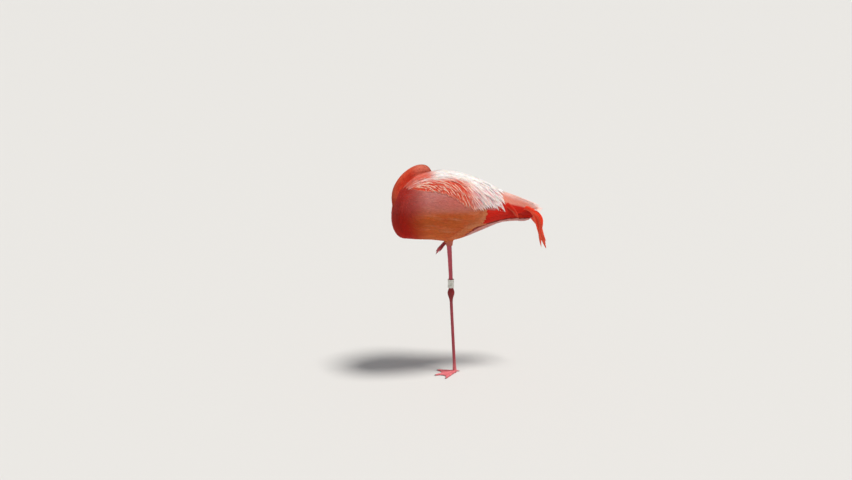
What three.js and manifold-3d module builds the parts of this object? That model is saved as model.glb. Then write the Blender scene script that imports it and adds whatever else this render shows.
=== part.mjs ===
// American flamingo (Phoenicopterus ruber), an adult female asleep on one leg, life size.
// Millimetres, +Z up. The bird faces -Y and its left side is +X. The origin is in the sole of the
// standing (left) foot, under the root of the toes, at floor level.
import * as THREE from "three";
import { mergeVertices } from "three/addons/utils/BufferGeometryUtils.js";
import Module from "manifold-3d";

const wasm = await Module();
wasm.setup();

// ---------------------------------------------------------------- driving sizes
const GAP = 0.4; // clearance between neighbouring solids
const TARSUS_R = 5.5; // half thickness of the bare lower leg
const SHANK_R = 6.9; // half thickness of the bare shank above the ankle
const ANKLE_R = 12.6; // half depth of the ankle joint
const ANKLE = [0, 6, 292]; // middle of the standing ankle
const LIFTED_ANKLE = [-41, 254, 568]; // ankle of the folded leg, under the wing tip
const LIFTED_TOES = [-22, 14, 498]; // root of the toes of the folded leg, at the belly
const RING_R = [8.9, 11.1]; // leg ring, bore and outside
const RING_Z = [320.5, 350.5]; // leg ring, from the top of the ankle up
const WING_T = 15; // thickness of the folded wing over the flank
const WING_IN = 24; // the wings stop this far from the midline, where the mantle lies
const EYE_R = 6.2;
const TOES = { inner: 66, middle: 79, outer: 73 }; // toe lengths with claw
const TOE_SPREAD = 38; // degrees between toes of the standing foot
const FOOT_HEADING = 12; // degrees by which the standing foot turns out to the left
const FOOT_AT = [-4.85, 19.4]; // root of the standing toes, so that the middle of the foot is under the body

// body stations: Y along the bird, height of the middle, half height, half width
const BODY = [
  [-204, 582, 82, 67],
  [-166, 598, 92, 78.5],
  [-121, 612, 110, 95.5],
  [-68, 616, 118, 100],
  [-15, 614.5, 123.5, 103],
  [37, 613.5, 114.5, 99],
  [107, 610.6, 88.4, 79.5],
  [177, 603.3, 58.7, 52.5],
  [232, 593, 45.5, 35],
  [272, 583, 38.5, 26],
  [304, 582, 25, 18],
];
const BODY_CAP = [42, 26]; // roundness of the breast and of the rump

// neck stations: X, Y, Z of the middle and half thickness
const NECK = [
  [-2, -148, 590, 36],
  [-7, -162, 614, 33],
  [-13, -171, 640, 29.5],
  [-21, -169.5, 669, 26.2],
  [-31, -150, 701, 24.3],
  [-38, -124, 722, 23.6],
  [-47, -98, 731, 23.6],
  [-62, -76, 727, 23],
  [-78, -64, 709, 22],
  [-88, -51, 690.5, 21],
  [-92, -33, 681, 19.5],
  [-91, -10, 679, 18],
];
const NECK_CUTS = [0, 0.3, 0.62, 0.955]; // where the neck is divided, and where it meets the head

// head: place, heading and the direction of its crown
const HEAD_AT = new THREE.Vector3(-90, 3, 679);
const HEAD_FWD = new THREE.Vector3(0.2, 0.97, -0.12).normalize();
const HEAD_UP = new THREE.Vector3(0.22, 0, 0.97);

// ---------------------------------------------------------------- small tools
const P = (a) => new THREE.Vector3(a[0], a[1], a[2]);
const lerp = THREE.MathUtils.lerp;
const clamp = THREE.MathUtils.clamp;

// Smooth function through the rows of a table: column 0 is the argument.
function table(rows) {
  const tangent = (i, c) => {
    const a = rows[Math.max(i - 1, 0)], b = rows[Math.min(i + 1, rows.length - 1)];
    return (b[c] - a[c]) / (b[0] - a[0]);
  };
  return (x, c) => {
    const v = clamp(x, rows[0][0], rows[rows.length - 1][0]);
    let i = 0;
    while (i < rows.length - 2 && v > rows[i + 1][0]) i++;
    const h = rows[i + 1][0] - rows[i][0], s = (v - rows[i][0]) / h;
    const s2 = s * s, s3 = s2 * s;
    return (2 * s3 - 3 * s2 + 1) * rows[i][c] + (s3 - 2 * s2 + s) * h * tangent(i, c) +
      (-2 * s3 + 3 * s2) * rows[i + 1][c] + (s3 - s2) * h * tangent(i + 1, c);
  };
}

// A closed three.js geometry as a manifold-3d solid, and back.
function solid(geometry) {
  const g = geometry.clone();
  g.deleteAttribute("normal");
  g.deleteAttribute("uv");
  const m = mergeVertices(g, 1e-3);
  const s = new wasm.Manifold(new wasm.Mesh({
    numProp: 3,
    vertProperties: new Float32Array(m.attributes.position.array),
    triVerts: new Uint32Array(m.index.array),
  }));
  if (s.volume() >= 0) return s;
  const t = new Uint32Array(m.index.array);
  for (let i = 0; i < t.length; i += 3) [t[i + 1], t[i + 2]] = [t[i + 2], t[i + 1]];
  return new wasm.Manifold(new wasm.Mesh({
    numProp: 3, vertProperties: new Float32Array(m.attributes.position.array), triVerts: t,
  }));
}
function geometryOf(s) {
  const m = s.getMesh();
  const g = new THREE.BufferGeometry();
  g.setAttribute("position", new THREE.BufferAttribute(new Float32Array(m.vertProperties), 3));
  g.setIndex(new THREE.BufferAttribute(new Uint32Array(m.triVerts), 1));
  g.computeVertexNormals();
  return g;
}
const minus = (a, ...cuts) => cuts.reduce((s, c) => s.subtract(c), a);
const largest = (s) => s.decompose().sort((a, b) => b.volume() - a.volume())[0];

// Maps a unit sphere: the poles are the ends, t runs 0..1 from end to end, angle goes round.
function egg(around, along, place) {
  const g = new THREE.SphereGeometry(1, around, along);
  const p = g.attributes.position;
  for (let i = 0; i < p.count; i++) {
    const t = Math.acos(clamp(p.getY(i), -1, 1)) / Math.PI;
    const q = place(t, Math.atan2(p.getZ(i), p.getX(i)));
    p.setXYZ(i, q.x, q.y, q.z);
  }
  return solid(g);
}

// A tube along curve: stations lists its t values, or [from, to, steps] spaces them evenly, and
// section(t) gives [half width along side, half height along up].
function tube(curve, stations, sides, up, section) {
  const [from, to, steps] = stations;
  const list = stations.length === 3 && steps >= 2
    ? Array.from({ length: steps + 1 }, (_, i) => lerp(from, to, i / steps)) : stations;
  const g = new THREE.CylinderGeometry(1, 1, 1, sides, list.length - 1);
  const p = g.attributes.position;
  for (let i = 0; i < p.count; i++) {
    const t = list[Math.round((p.getY(i) + 0.5) * (list.length - 1))];
    const c = curve.getPoint(clamp(t, 0, 1));
    const d = curve.getTangent(clamp(t, 0, 1));
    const side = new THREE.Vector3().crossVectors(d, up).normalize();
    const top = new THREE.Vector3().crossVectors(side, d).normalize();
    const [w, h] = section(t);
    c.addScaledVector(side, p.getX(i) * w).addScaledVector(top, p.getZ(i) * h);
    p.setXYZ(i, c.x, c.y, c.z);
  }
  return solid(g);
}

// The same curve with t proportional to the length along it.
const even = (curve) => ({ getPoint: (t) => curve.getPointAt(t), getTangent: (t) => curve.getTangentAt(t) });

// ---------------------------------------------------------------- body
const bodyAt = table(BODY);
const FRONT = BODY[0][0], REAR = BODY[BODY.length - 1][0] + 6;
function roundEnd(depth, radius) {
  const k = clamp(1 - depth / radius, 0, 1);
  return Math.sqrt(Math.max(0, 1 - k * k));
}
function body(grow, around = 26, along = 20) {
  return egg(around, along, (t, angle) => {
    const y = (FRONT + REAR) / 2 - ((REAR - FRONT) / 2) * Math.cos(Math.PI * t);
    const cap = roundEnd(y - FRONT, BODY_CAP[0]) * roundEnd(REAR - y, BODY_CAP[1]);
    const half = Math.max(0, bodyAt(y, 2) + grow) * cap;
    const wide = Math.max(0, bodyAt(y, 3) + grow) * cap;
    const round = (v) => Math.sign(v) * Math.abs(v) ** 0.93;
    return new THREE.Vector3(
      wide * round(Math.cos(angle)), y - grow * Math.cos(Math.PI * t),
      bodyAt(y, 1) + half * round(Math.sin(angle)));
  });
}
const envelope = body(0);
const core = body(-WING_T, 18, 12);
const coreGrown = body(-WING_T + GAP, 18, 12);

// Side outline of the folded wing as [Y, Z]: wrist, upper edge above the back, tip, lower edge.
const WING_OUTLINE = [
  [-176, 606], [-160, 660], [-118, 730], [-20, 770], [120, 740], [210, 670],
  [286, 640], [284, 586], [252, 578], [190, 584], [128, 598], [20, 606], [-90, 603], [-150, 590],
];
function wingPrism(side, grow) {
  const ring = new THREE.CatmullRomCurve3(
    WING_OUTLINE.map(([y, z]) => new THREE.Vector3(y, z, 0)), true, "centripetal").getPoints(18);
  ring.pop();
  // the outline runs clockwise, so its outward normal is its direction turned a quarter to the left
  const shape = new THREE.Shape(ring.map((v, i) => {
    const d = ring[(i + 1) % ring.length].clone().sub(ring[(i + ring.length - 1) % ring.length]).normalize();
    return new THREE.Vector2(v.x - d.y * grow, v.y + d.x * grow);
  }));
  const g = new THREE.ExtrudeGeometry(shape, { depth: 140, bevelEnabled: false });
  // shape X is Y of the bird, shape Y is Z, and the extrusion runs along X
  g.applyMatrix4(new THREE.Matrix4().makeBasis(
    new THREE.Vector3(0, 1, 0), new THREE.Vector3(0, 0, 1), new THREE.Vector3(1, 0, 0)));
  g.translate(WING_IN - grow, 0, 0);
  if (side < 0) g.scale(-1, 1, 1);
  return solid(g);
}
const wing = (side) => minus(wingPrism(side, 0).intersect(envelope), coreGrown);

// ---------------------------------------------------------------- neck
const neckPath = new THREE.CatmullRomCurve3(NECK.map(P), false, "centripetal");
const neckR = (t) => {
  const u = clamp(t, 0, 1) * (NECK.length - 1), i = Math.min(Math.floor(u), NECK.length - 2);
  return lerp(NECK[i][3], NECK[i + 1][3], u - i);
};
const NECK_UP = new THREE.Vector3(0.9, 0.25, 0.35);
const NECK_STEPS = [5, 8, 9];
const neckStations = NECK_STEPS.map((n, i) =>
  Array.from({ length: n + 1 }, (_, k) => lerp(NECK_CUTS[i], NECK_CUTS[i + 1], k / n)));
const neck = (stations, grow) =>
  tube(neckPath, stations, 14, NECK_UP, (t) => [neckR(t) + grow, neckR(t) + grow]);

// ---------------------------------------------------------------- head and bill
const headSide = new THREE.Vector3().crossVectors(HEAD_UP, HEAD_FWD).normalize(); // the bird's left
const headTop = new THREE.Vector3().crossVectors(HEAD_FWD, headSide).normalize();
const inHead = (x, y, z) => HEAD_AT.clone().addScaledVector(HEAD_FWD, x)
  .addScaledVector(headSide, y).addScaledVector(headTop, z);
// X along the head, half width, height of crown, depth of throat
const headAt = table([[-30, 18, 19, 18], [-12, 19.5, 22.5, 19], [6, 18.5, 21.5, 17.5], [22, 14.5, 16, 14], [36, 11, 11.5, 12]]);
function skull(grow, around = 13, along = 9) {
  return egg(around, along, (t, angle) => {
    const x = 3 - 34 * Math.cos(Math.PI * t);
    const cap = Math.sqrt(Math.sin(Math.PI * clamp(t, 0, 1)));
    const w = (headAt(x, 1) + grow) * cap, up = (headAt(x, 2) + grow) * cap, down = (headAt(x, 3) + grow) * cap;
    const s = Math.sin(angle);
    return inHead(x - grow * Math.cos(Math.PI * t), w * Math.cos(angle), s > 0 ? up * s : down * s);
  });
}
// line where the mandibles close, in the head's own X and Z, bent down halfway
const GAPE = [[24, -3], [42, -3], [60, -6], [75, -15], [84, -31], [85, -50], [81, -64]];
const gape = new THREE.CatmullRomCurve3(GAPE.map(([x, z]) => inHead(x, 0, z)), false, "centripetal");
// t, half width, height of the upper bill, depth of the lower bill
const billAt = table([[0, 11, 14.5, 10], [0.25, 10.2, 11, 12.5], [0.5, 9.6, 8, 16], [0.72, 8, 6.5, 13.5], [0.9, 5.2, 4.6, 8], [1, 3, 2.4, 2.6]]);
function mandible(column, grow) {
  const sign = column === 2 ? 1 : -1;
  const g = new THREE.CylinderGeometry(1, 1, 1, 10, 10);
  const p = g.attributes.position;
  for (let i = 0; i < p.count; i++) {
    const t = p.getY(i) + 0.5, c = gape.getPoint(t), d = gape.getTangent(t);
    const top = new THREE.Vector3().crossVectors(d, headSide).normalize();
    const z = p.getZ(i);
    const h = z > 0.01 ? z * (billAt(t, column) + grow) + 0.2 : 0.2 - 1.2 * grow;
    c.addScaledVector(d, grow * (2 * t - 1));
    c.addScaledVector(headSide, p.getX(i) * (billAt(t, 1) + grow)).addScaledVector(top, sign * h);
    p.setXYZ(i, c.x, c.y, c.z);
  }
  return solid(g);
}
// the room that both mandibles take, as one plain tube
const billSleeve = (grow) => tube(gape, [0, 1, 6], 8, headSide, (t) => {
  const half = Math.max(billAt(t, 2), billAt(t, 3)) + grow;
  return [half * 1.09, (billAt(t, 1) + grow) * 1.09];
});
const eyeCentre = (side) => inHead(11, side * 12.6, 5);
const eye = (side, grow) => {
  const c = eyeCentre(side);
  return solid(new THREE.SphereGeometry(EYE_R + grow, 10, 7).translate(c.x, c.y, c.z));
};

// ---------------------------------------------------------------- legs
const bump = (x, at, width) => Math.exp(-(((x - at) / width) ** 2));
// t runs 0 at the ankle's top to 1 at the toes, length is the bone's length with the ankle
const legSection = (length, grow) => (t) => {
  const s = t * length;
  const r = TARSUS_R + (ANKLE_R - TARSUS_R) * bump(s, 19, 17) + 1.6 * bump(s, length, 20) + grow;
  return [r * 0.84, r];
};
const FORE = new THREE.Vector3(0, -1, 0);
const standingPath = even(new THREE.CatmullRomCurve3([
  P([0.4, 6.4, 319]), P(ANKLE), P([-2.2, 12.6, 150]), P([FOOT_AT[0], FOOT_AT[1] + 0.5, 8]),
], false, "centripetal"));
const liftedDir = P(LIFTED_ANKLE).sub(P(LIFTED_TOES)).normalize();
const liftedPath = even(new THREE.CatmullRomCurve3([
  P(LIFTED_ANKLE).addScaledVector(liftedDir, 14), P(LIFTED_ANKLE).lerp(P(LIFTED_TOES), 0.35),
  P(LIFTED_ANKLE).lerp(P(LIFTED_TOES), 0.7), P(LIFTED_TOES),
], false, "centripetal"));
const shankPath = new THREE.CatmullRomCurve3([
  P([17, -7, 520]), P([9, -1, 455]), P([3, 3.5, 385]), P([0.4, 6.2, 319.6]),
], false, "centripetal");
const foldedShank = new THREE.CatmullRomCurve3([
  P([-49, 190, 581]), P([-46, 215, 577]), P([-42, 243, 572]),
], false, "centripetal");

// A foot in its own frame: toes run along -Y, up is +Z. bend(s) gives how far a toe dips and draws in.
function toePath(degrees, length, droop) {
  const a = THREE.MathUtils.degToRad(degrees), pts = [];
  for (let i = 0; i <= 6; i++) {
    const s = (i / 6) * length, fall = droop * (s / 79) ** 1.35;
    const reach = droop ? (Math.sin(fall) / Math.max(fall, 1e-6)) * s : s;
    const drop = droop ? ((1 - Math.cos(fall)) / Math.max(fall, 1e-6)) * s : 0;
    pts.push(new THREE.Vector3(Math.sin(a) * reach, -Math.cos(a) * reach, 4.4 - 1.6 * (s / 79) - drop));
  }
  return new THREE.CatmullRomCurve3(pts, false, "centripetal");
}
function foot({ side, spread, droop, grow = 0 }) {
  const up = new THREE.Vector3(0, 0, 1);
  const toes = [
    toePath(-side * spread, TOES.inner, droop), toePath(side * 2, TOES.middle, droop), toePath(side * (spread + 2), TOES.outer, droop),
  ];
  const radius = (t) => (5 - 2.4 * t) * (t > 0.93 ? 1 - (t - 0.93) * 9 : 1) + 0.55 * bump((t * 3.2) % 1, 0.5, 0.24) + grow;
  let s = toes.map((c) => tube(c, [0, 1, 7], 6, up, (t) => [radius(t), radius(t)])).reduce((a, b) => a.add(b));
  // webs: thin plates between neighbouring toes with a hollow front edge
  for (const [a, b] of [[toes[0], toes[1]], [toes[1], toes[2]]]) {
    const g = new THREE.BoxGeometry(1, 1, 1, 3, 2, 1);
    const p = g.attributes.position;
    for (let i = 0; i < p.count; i++) {
      const v = p.getX(i) + 0.5, u = (p.getY(i) + 0.5) * (0.83 - 0.62 * v * (1 - v)) + 0.02;
      const q = a.getPoint(u).lerp(b.getPoint(u), v);
      const z = p.getZ(i) > 0 ? 1.3 : -1.5;
      p.setXYZ(i, q.x, q.y, q.z + z * (1 + grow));
    }
    s = s.add(solid(g));
  }
  // hind toe and root of the toes
  const root = new THREE.SphereGeometry(1, 8, 6).scale(7.4 + grow, 8.4 + grow, 7.2 + grow).translate(0, 0, 5.2);
  const hind = new THREE.CatmullRomCurve3([new THREE.Vector3(0, 2, 7), new THREE.Vector3(-side * 3, 11, 4.6), new THREE.Vector3(-side * 4, 19, 1.5)]);
  return s.add(solid(root)).add(tube(hind, [0, 1, 3], 6, up, (t) => [3 - 1.6 * t + grow, 3 - 1.6 * t + grow]));
}
const below = solid(new THREE.BoxGeometry(400, 400, 40).translate(0, 0, -20));
function standingFoot(grow) {
  const m = geometryOf(foot({ side: 1, spread: TOE_SPREAD, droop: 0, grow }));
  return solid(m.rotateZ(THREE.MathUtils.degToRad(FOOT_HEADING)).translate(FOOT_AT[0], FOOT_AT[1], 0));
}
const footLeft = largest(standingFoot(0).subtract(below));
// the folded foot hangs from the tarsus, toes together and drooping
const hang = new THREE.Matrix4().makeBasis(
  new THREE.Vector3(0.96, 0.1, 0.1).normalize(),
  new THREE.Vector3(-0.12, 0.8, 0.58).normalize(),
  new THREE.Vector3(0, -0.58, 0.8).normalize());
function foldedFoot(grow) {
  const s = foot({ side: -1, spread: 12, droop: 0.3, grow });
  const m = geometryOf(s);
  m.applyMatrix4(hang);
  m.translate(LIFTED_TOES[0], LIFTED_TOES[1] - 1, LIFTED_TOES[2] - 6);
  return solid(m);
}

// ---------------------------------------------------------------- tail and long plumes
const tailPath = new THREE.CatmullRomCurve3([P([0, 200, 626]), P([0, 266, 609]), P([0, 330, 588])]);
const tail = (grow) => tube(tailPath, [0, 1, 8], 14, new THREE.Vector3(0, 0, 1), (t) => [
  lerp(40, 27, t) * (t > 0.8 ? 1 - 3.2 * (t - 0.8) : 1) + grow, lerp(9, 1.4, t) + grow]);
function plume(points, r, thick, grow = 0) {
  const c = new THREE.CatmullRomCurve3(points.map(P));
  const w = (t) => r * Math.sin(Math.PI * (0.16 + 0.84 * t)) ** 0.6 * (1 - 0.35 * t) + 1 + grow;
  return tube(c, [0, 1, 10], 8, new THREE.Vector3(1, 0, 0), (t) => [w(t), thick * (1 - 0.6 * t) + 1 + grow]);
}
const PLUME_NEAR = [[22, 214, 616], [25, 252, 611], [27, 289, 585], [27, 314, 541], [26, 330, 492], [25, 339, 448]];
const PRONG_NEAR = [[30, 270, 596], [32, 298, 560], [31, 313, 520], [29, 319, 488], [28, 321, 456]];
const PLUME_FAR = [[-22, 214, 615], [-25, 250, 608], [-26, 282, 588], [-26, 303, 556], [-25, 312, 524]];

// ---------------------------------------------------------------- fit the pieces together
const bare = [
  tube(shankPath, [0, 1, 8], 10, FORE, (t) => [SHANK_R + GAP + 3.2 * (1 - t) ** 2, SHANK_R + GAP + 4.4 * (1 - t) ** 2]),
  tube(liftedPath, [0, 1, 13], 8, new THREE.Vector3(0, 0, 1), legSection(288, GAP)),
  tube(foldedShank, [-0, 1, 4], 8, new THREE.Vector3(0, 0, 1), () => [SHANK_R + GAP, SHANK_R + GAP + 1.5]),
  foldedFoot(GAP),
];
const headCut = [skull(GAP + 2.2, 10, 7), eye(-1, GAP), billSleeve(GAP + 1.6)];
const everyStation = [...new Set(neckStations.flat())];
const neckCut = neck(everyStation.filter((_, i) => i % 2 === 0), GAP + 3.0);
const trunkCuts = [...bare, ...headCut, neckCut];

const pockets = [1, -1].map((s) => minus(wingPrism(s, GAP), core));
const trunk = largest(minus(envelope, ...pockets, ...trunkCuts));
const wingLeft = largest(minus(wing(1), ...trunkCuts));
const wingRight = largest(minus(wing(-1), ...trunkCuts));

const near = body(GAP * 0.9);
const tailSolid = largest(minus(tail(0), near, ...bare));
const plumeLeft = largest(minus(plume(PLUME_NEAR, 12.5, 4.2).add(plume(PRONG_NEAR, 7.5, 2.4)), near, tail(GAP)));
const plumeRight = largest(minus(plume(PLUME_FAR, 12, 4.2), near, tail(GAP), ...bare));

const neckParts = neckStations.map((list, i) =>
  neck(list.map((t, k) => (i < 2 && k === list.length - 1 ? t - 0.0007 : t)), 0));
neckParts[2] = largest(minus(neckParts[2], skull(GAP)));
const head = largest(minus(skull(0), eye(1, 0.35), eye(-1, 0.35)));
const billUpper = largest(minus(mandible(2, 0), skull(GAP)));
const billLower = largest(minus(mandible(3, 0), skull(GAP)));

const shankLeft = tube(shankPath, [0, 0.998, 8], 10, FORE, (t) => [SHANK_R + 3.2 * (1 - t) ** 2, SHANK_R + 4.4 * (1 - t) ** 2]);
const tarsusLeft = largest(minus(
  tube(standingPath, [0, 1, 14], 8, FORE, legSection(311, 0)), standingFoot(GAP)));
const shankRight = tube(foldedShank, [0, 1, 4], 8, new THREE.Vector3(0, 0, 1), () => [SHANK_R, SHANK_R + 1]);
const tarsusRight = largest(minus(
  tube(liftedPath, [0, 1, 13], 8, new THREE.Vector3(0, 0, 1), legSection(288, 0)), foldedFoot(GAP),
  tube(foldedShank, [0, 1, 4], 8, new THREE.Vector3(0, 0, 1), () => [SHANK_R + GAP, SHANK_R + 1 + GAP])));
const ring = solid(new THREE.LatheGeometry([
  [RING_R[0], RING_Z[0]], [RING_R[1] - 0.5, RING_Z[0]], [RING_R[1], RING_Z[0] + 0.8],
  [RING_R[1], RING_Z[1] - 0.8], [RING_R[1] - 0.5, RING_Z[1]], [RING_R[0], RING_Z[1]], [RING_R[0], RING_Z[0]],
].map(([r, z]) => new THREE.Vector2(r, z)), 18).rotateX(Math.PI / 2).translate(1.3, 5.2, 0));

// ---------------------------------------------------------------- the scene graph
const finish = (color, roughness) => new THREE.MeshStandardMaterial({ color, roughness, metalness: 0 });
const plumage = finish(0xe8836f, 0.8), rosy = finish(0xeda79a, 0.8), scarlet = finish(0xd9452e, 0.8);
const skin = finish(0xc75a68, 0.55), joint = finish(0xb02a32, 0.55);
const horn = finish(0xe9b9a4, 0.35), black = finish(0x1c1716, 0.35);
const flamingo = new THREE.Group();
flamingo.name = "flamingo";
const put = (name, s, material) => {
  const mesh = new THREE.Mesh(s.isManifoldGeometry ? s : geometryOf(s), material);
  mesh.name = name;
  flamingo.add(mesh);
};
put("trunk", trunk, plumage);
put("wing_left", wingLeft, rosy);
put("wing_right", wingRight, rosy);
put("tertials_left", plumeLeft, scarlet);
put("tertials_right", plumeRight, scarlet);
put("tail", tailSolid, rosy);
put("neck_base", neckParts[0], scarlet);
put("neck_middle", neckParts[1], scarlet);
put("neck_upper", neckParts[2], scarlet);
put("head", head, scarlet);
put("bill_upper", billUpper, horn);
put("bill_lower", billLower, black);
put("eye_left", eye(1, 0), finish(0xe8d26a, 0.1));
put("eye_right", eye(-1, 0), finish(0xe8d26a, 0.1));
put("shank_left", shankLeft, skin);
put("tarsus_left", tarsusLeft, joint);
put("foot_left", footLeft, skin);
put("shank_right", shankRight, skin);
put("tarsus_right", tarsusRight, joint);
put("foot_right", foldedFoot(0), skin);
put("leg_ring", ring, finish(0xd8d6c8, 0.4));

export default flamingo;
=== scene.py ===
import bpy, math, time
import numpy as np
from mathutils import Matrix, Vector
from mathutils.bvhtree import BVHTree


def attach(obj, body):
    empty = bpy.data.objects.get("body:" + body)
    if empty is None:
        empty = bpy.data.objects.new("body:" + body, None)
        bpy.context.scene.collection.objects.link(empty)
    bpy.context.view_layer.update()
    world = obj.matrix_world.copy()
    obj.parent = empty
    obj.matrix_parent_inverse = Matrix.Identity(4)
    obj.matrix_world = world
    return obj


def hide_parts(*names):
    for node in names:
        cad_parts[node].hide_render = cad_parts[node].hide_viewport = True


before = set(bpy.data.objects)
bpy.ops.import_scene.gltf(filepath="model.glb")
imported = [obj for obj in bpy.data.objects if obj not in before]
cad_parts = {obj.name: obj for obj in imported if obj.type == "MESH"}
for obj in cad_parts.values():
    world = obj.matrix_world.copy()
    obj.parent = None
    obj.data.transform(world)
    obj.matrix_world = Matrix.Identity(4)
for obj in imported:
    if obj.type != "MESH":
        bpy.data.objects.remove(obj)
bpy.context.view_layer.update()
T0 = time.time()
rng = np.random.default_rng(11)
MM = 0.001

# =====================================================================================
# Shape of the bird, in millimetres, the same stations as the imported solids
# =====================================================================================
BODY = np.array([
    [-204, 582, 82, 67], [-166, 598, 92, 78.5], [-121, 612, 110, 95.5], [-68, 616, 118, 100],
    [-15, 614.5, 123.5, 103], [37, 613.5, 114.5, 99], [107, 610.6, 88.4, 79.5], [177, 603.3, 58.7, 52.5],
    [232, 593, 45.5, 35], [272, 583, 38.5, 26], [304, 582, 25, 18]], float)
FRONT, REAR = -204.0, 310.0
CAP = (42.0, 26.0)
NECK = np.array([
    [-2, -148, 590, 36], [-7, -162, 614, 33], [-13, -171, 640, 29.5], [-21, -169.5, 669, 26.2],
    [-31, -150, 701, 24.3], [-38, -124, 722, 23.6], [-47, -98, 731, 23.6], [-62, -76, 727, 23],
    [-78, -64, 709, 22], [-88, -51, 690.5, 21], [-92, -33, 681, 19.5], [-91, -10, 679, 18]], float)
ANKLE = (0.0, 6.0, 292.0)
FOOT_AT = (-4.85, 19.4, 0.0)  # root of the standing toes
LIFTED_ANKLE = np.array([-41.0, 254.0, 568.0])
LIFTED_TOES = np.array([-22.0, 14.0, 498.0])
RING_R = (8.9, 11.1)
RING_Z = (320.5, 350.5)
EYE_R = 6.2


def unit(v):
    v = np.asarray(v, float)
    return v / np.maximum(np.linalg.norm(v, axis=-1, keepdims=True), 1e-9)


def smooth(a, b, x):
    t = np.clip((x - a) / (b - a), 0, 1)
    return t * t * (3 - 2 * t)


def bump(x, at, width):
    return np.exp(-(((x - at) / width) ** 2))


def table(rows, x, c):
    """Cubic through the rows of a table, column 0 is the argument."""
    xs, ys = rows[:, 0], rows[:, c]
    n = len(xs)
    tan = np.array([(ys[min(i + 1, n - 1)] - ys[max(i - 1, 0)]) / (xs[min(i + 1, n - 1)] - xs[max(i - 1, 0)]) for i in range(n)])
    v = np.clip(x, xs[0], xs[-1])
    i = np.clip(np.searchsorted(xs, v, side="right") - 1, 0, n - 2)
    h = xs[i + 1] - xs[i]
    s = (v - xs[i]) / h
    s2, s3 = s * s, s ** 3
    return ((2 * s3 - 3 * s2 + 1) * ys[i] + (s3 - 2 * s2 + s) * h * tan[i]
            + (-2 * s3 + 3 * s2) * ys[i + 1] + (s3 - s2) * h * tan[i + 1])


def spline(points, per=14):
    """Centripetal Catmull-Rom through the points, as a dense list of points."""
    P = np.asarray(points, float)
    Q = np.vstack([2 * P[0] - P[1], P, 2 * P[-1] - P[-2]])
    out = []
    for i in range(1, len(Q) - 2):
        p0, p1, p2, p3 = Q[i - 1:i + 3]
        a, b, c = (max(np.linalg.norm(u) ** 0.5, 1e-6) for u in (p1 - p0, p2 - p1, p3 - p2))
        m1 = ((p1 - p0) / a - (p2 - p0) / (a + b) + (p2 - p1) / b) * b
        m2 = ((p2 - p1) / b - (p3 - p1) / (b + c) + (p3 - p2) / c) * b
        for k in range(per):
            s = k / per
            out.append((2 * s ** 3 - 3 * s * s + 1) * p1 + (s ** 3 - 2 * s * s + s) * m1
                       + (-2 * s ** 3 + 3 * s * s) * p2 + (s ** 3 - s * s) * m2)
    out.append(P[-1])
    return np.array(out)


def along(path, n):
    """n points evenly spaced along a dense path."""
    d = np.r_[0, np.cumsum(np.linalg.norm(np.diff(path, axis=0), axis=1))]
    s = np.linspace(0, d[-1], n)
    return np.stack([np.interp(s, d, path[:, k]) for k in range(path.shape[1])], 1)


# ------------------------------------------------------------------ body
def body_centre(y):
    return table(BODY, y, 1)


def body_half(y):
    return table(BODY, y, 2), table(BODY, y, 3)


def body_angle(p):
    """Angle round the body: 0 at the side, 90 on the back, -90 under the belly, in degrees."""
    h, w = body_half(p[:, 1])
    return np.degrees(np.arctan2((p[:, 2] - body_centre(p[:, 1])) / h, np.abs(p[:, 0]) / w))


def body_point(y, ang, grow=0.0):
    """Point of the plumage envelope at Y and a signed angle (0 left side, 180 right side), in degrees."""
    y = np.asarray(y, float)
    a = np.radians(ang)
    k0 = np.clip(1 - (y - FRONT) / CAP[0], 0, 1)
    k1 = np.clip(1 - (REAR - y) / CAP[1], 0, 1)
    cap = np.sqrt(np.maximum(0, 1 - k0 ** 2)) * np.sqrt(np.maximum(0, 1 - k1 ** 2))
    h, w = body_half(y)
    f = lambda v: np.sign(v) * np.abs(v) ** 0.93
    return np.stack([np.maximum(0, w + grow) * cap * f(np.cos(a)), y + 0 * a,
                     body_centre(y) + np.maximum(0, h + grow) * cap * f(np.sin(a))], -1)


# ------------------------------------------------------------------ neck and head frames
neck_path = spline(NECK, 18)
neck_r = neck_path[:, 3]
neck_c = neck_path[:, :3]
neck_t = unit(np.gradient(neck_c, axis=0))
neck_s = np.r_[0, np.cumsum(np.linalg.norm(np.diff(neck_c, axis=0), axis=1))]

HEAD_AT = np.array([-90.0, 3.0, 679.0])
HEAD_FWD = unit([0.2, 0.97, -0.12])
HEAD_SIDE = unit(np.cross([0.22, 0, 0.97], HEAD_FWD))
HEAD_TOP = unit(np.cross(HEAD_FWD, HEAD_SIDE))


def in_head(x, y, z):
    return HEAD_AT + np.multiply.outer(np.asarray(x, float), HEAD_FWD) + np.multiply.outer(np.asarray(y, float), HEAD_SIDE) \
        + np.multiply.outer(np.asarray(z, float), HEAD_TOP)


def to_head(p):
    q = p - HEAD_AT
    return q @ HEAD_FWD, q @ HEAD_SIDE, q @ HEAD_TOP


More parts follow.
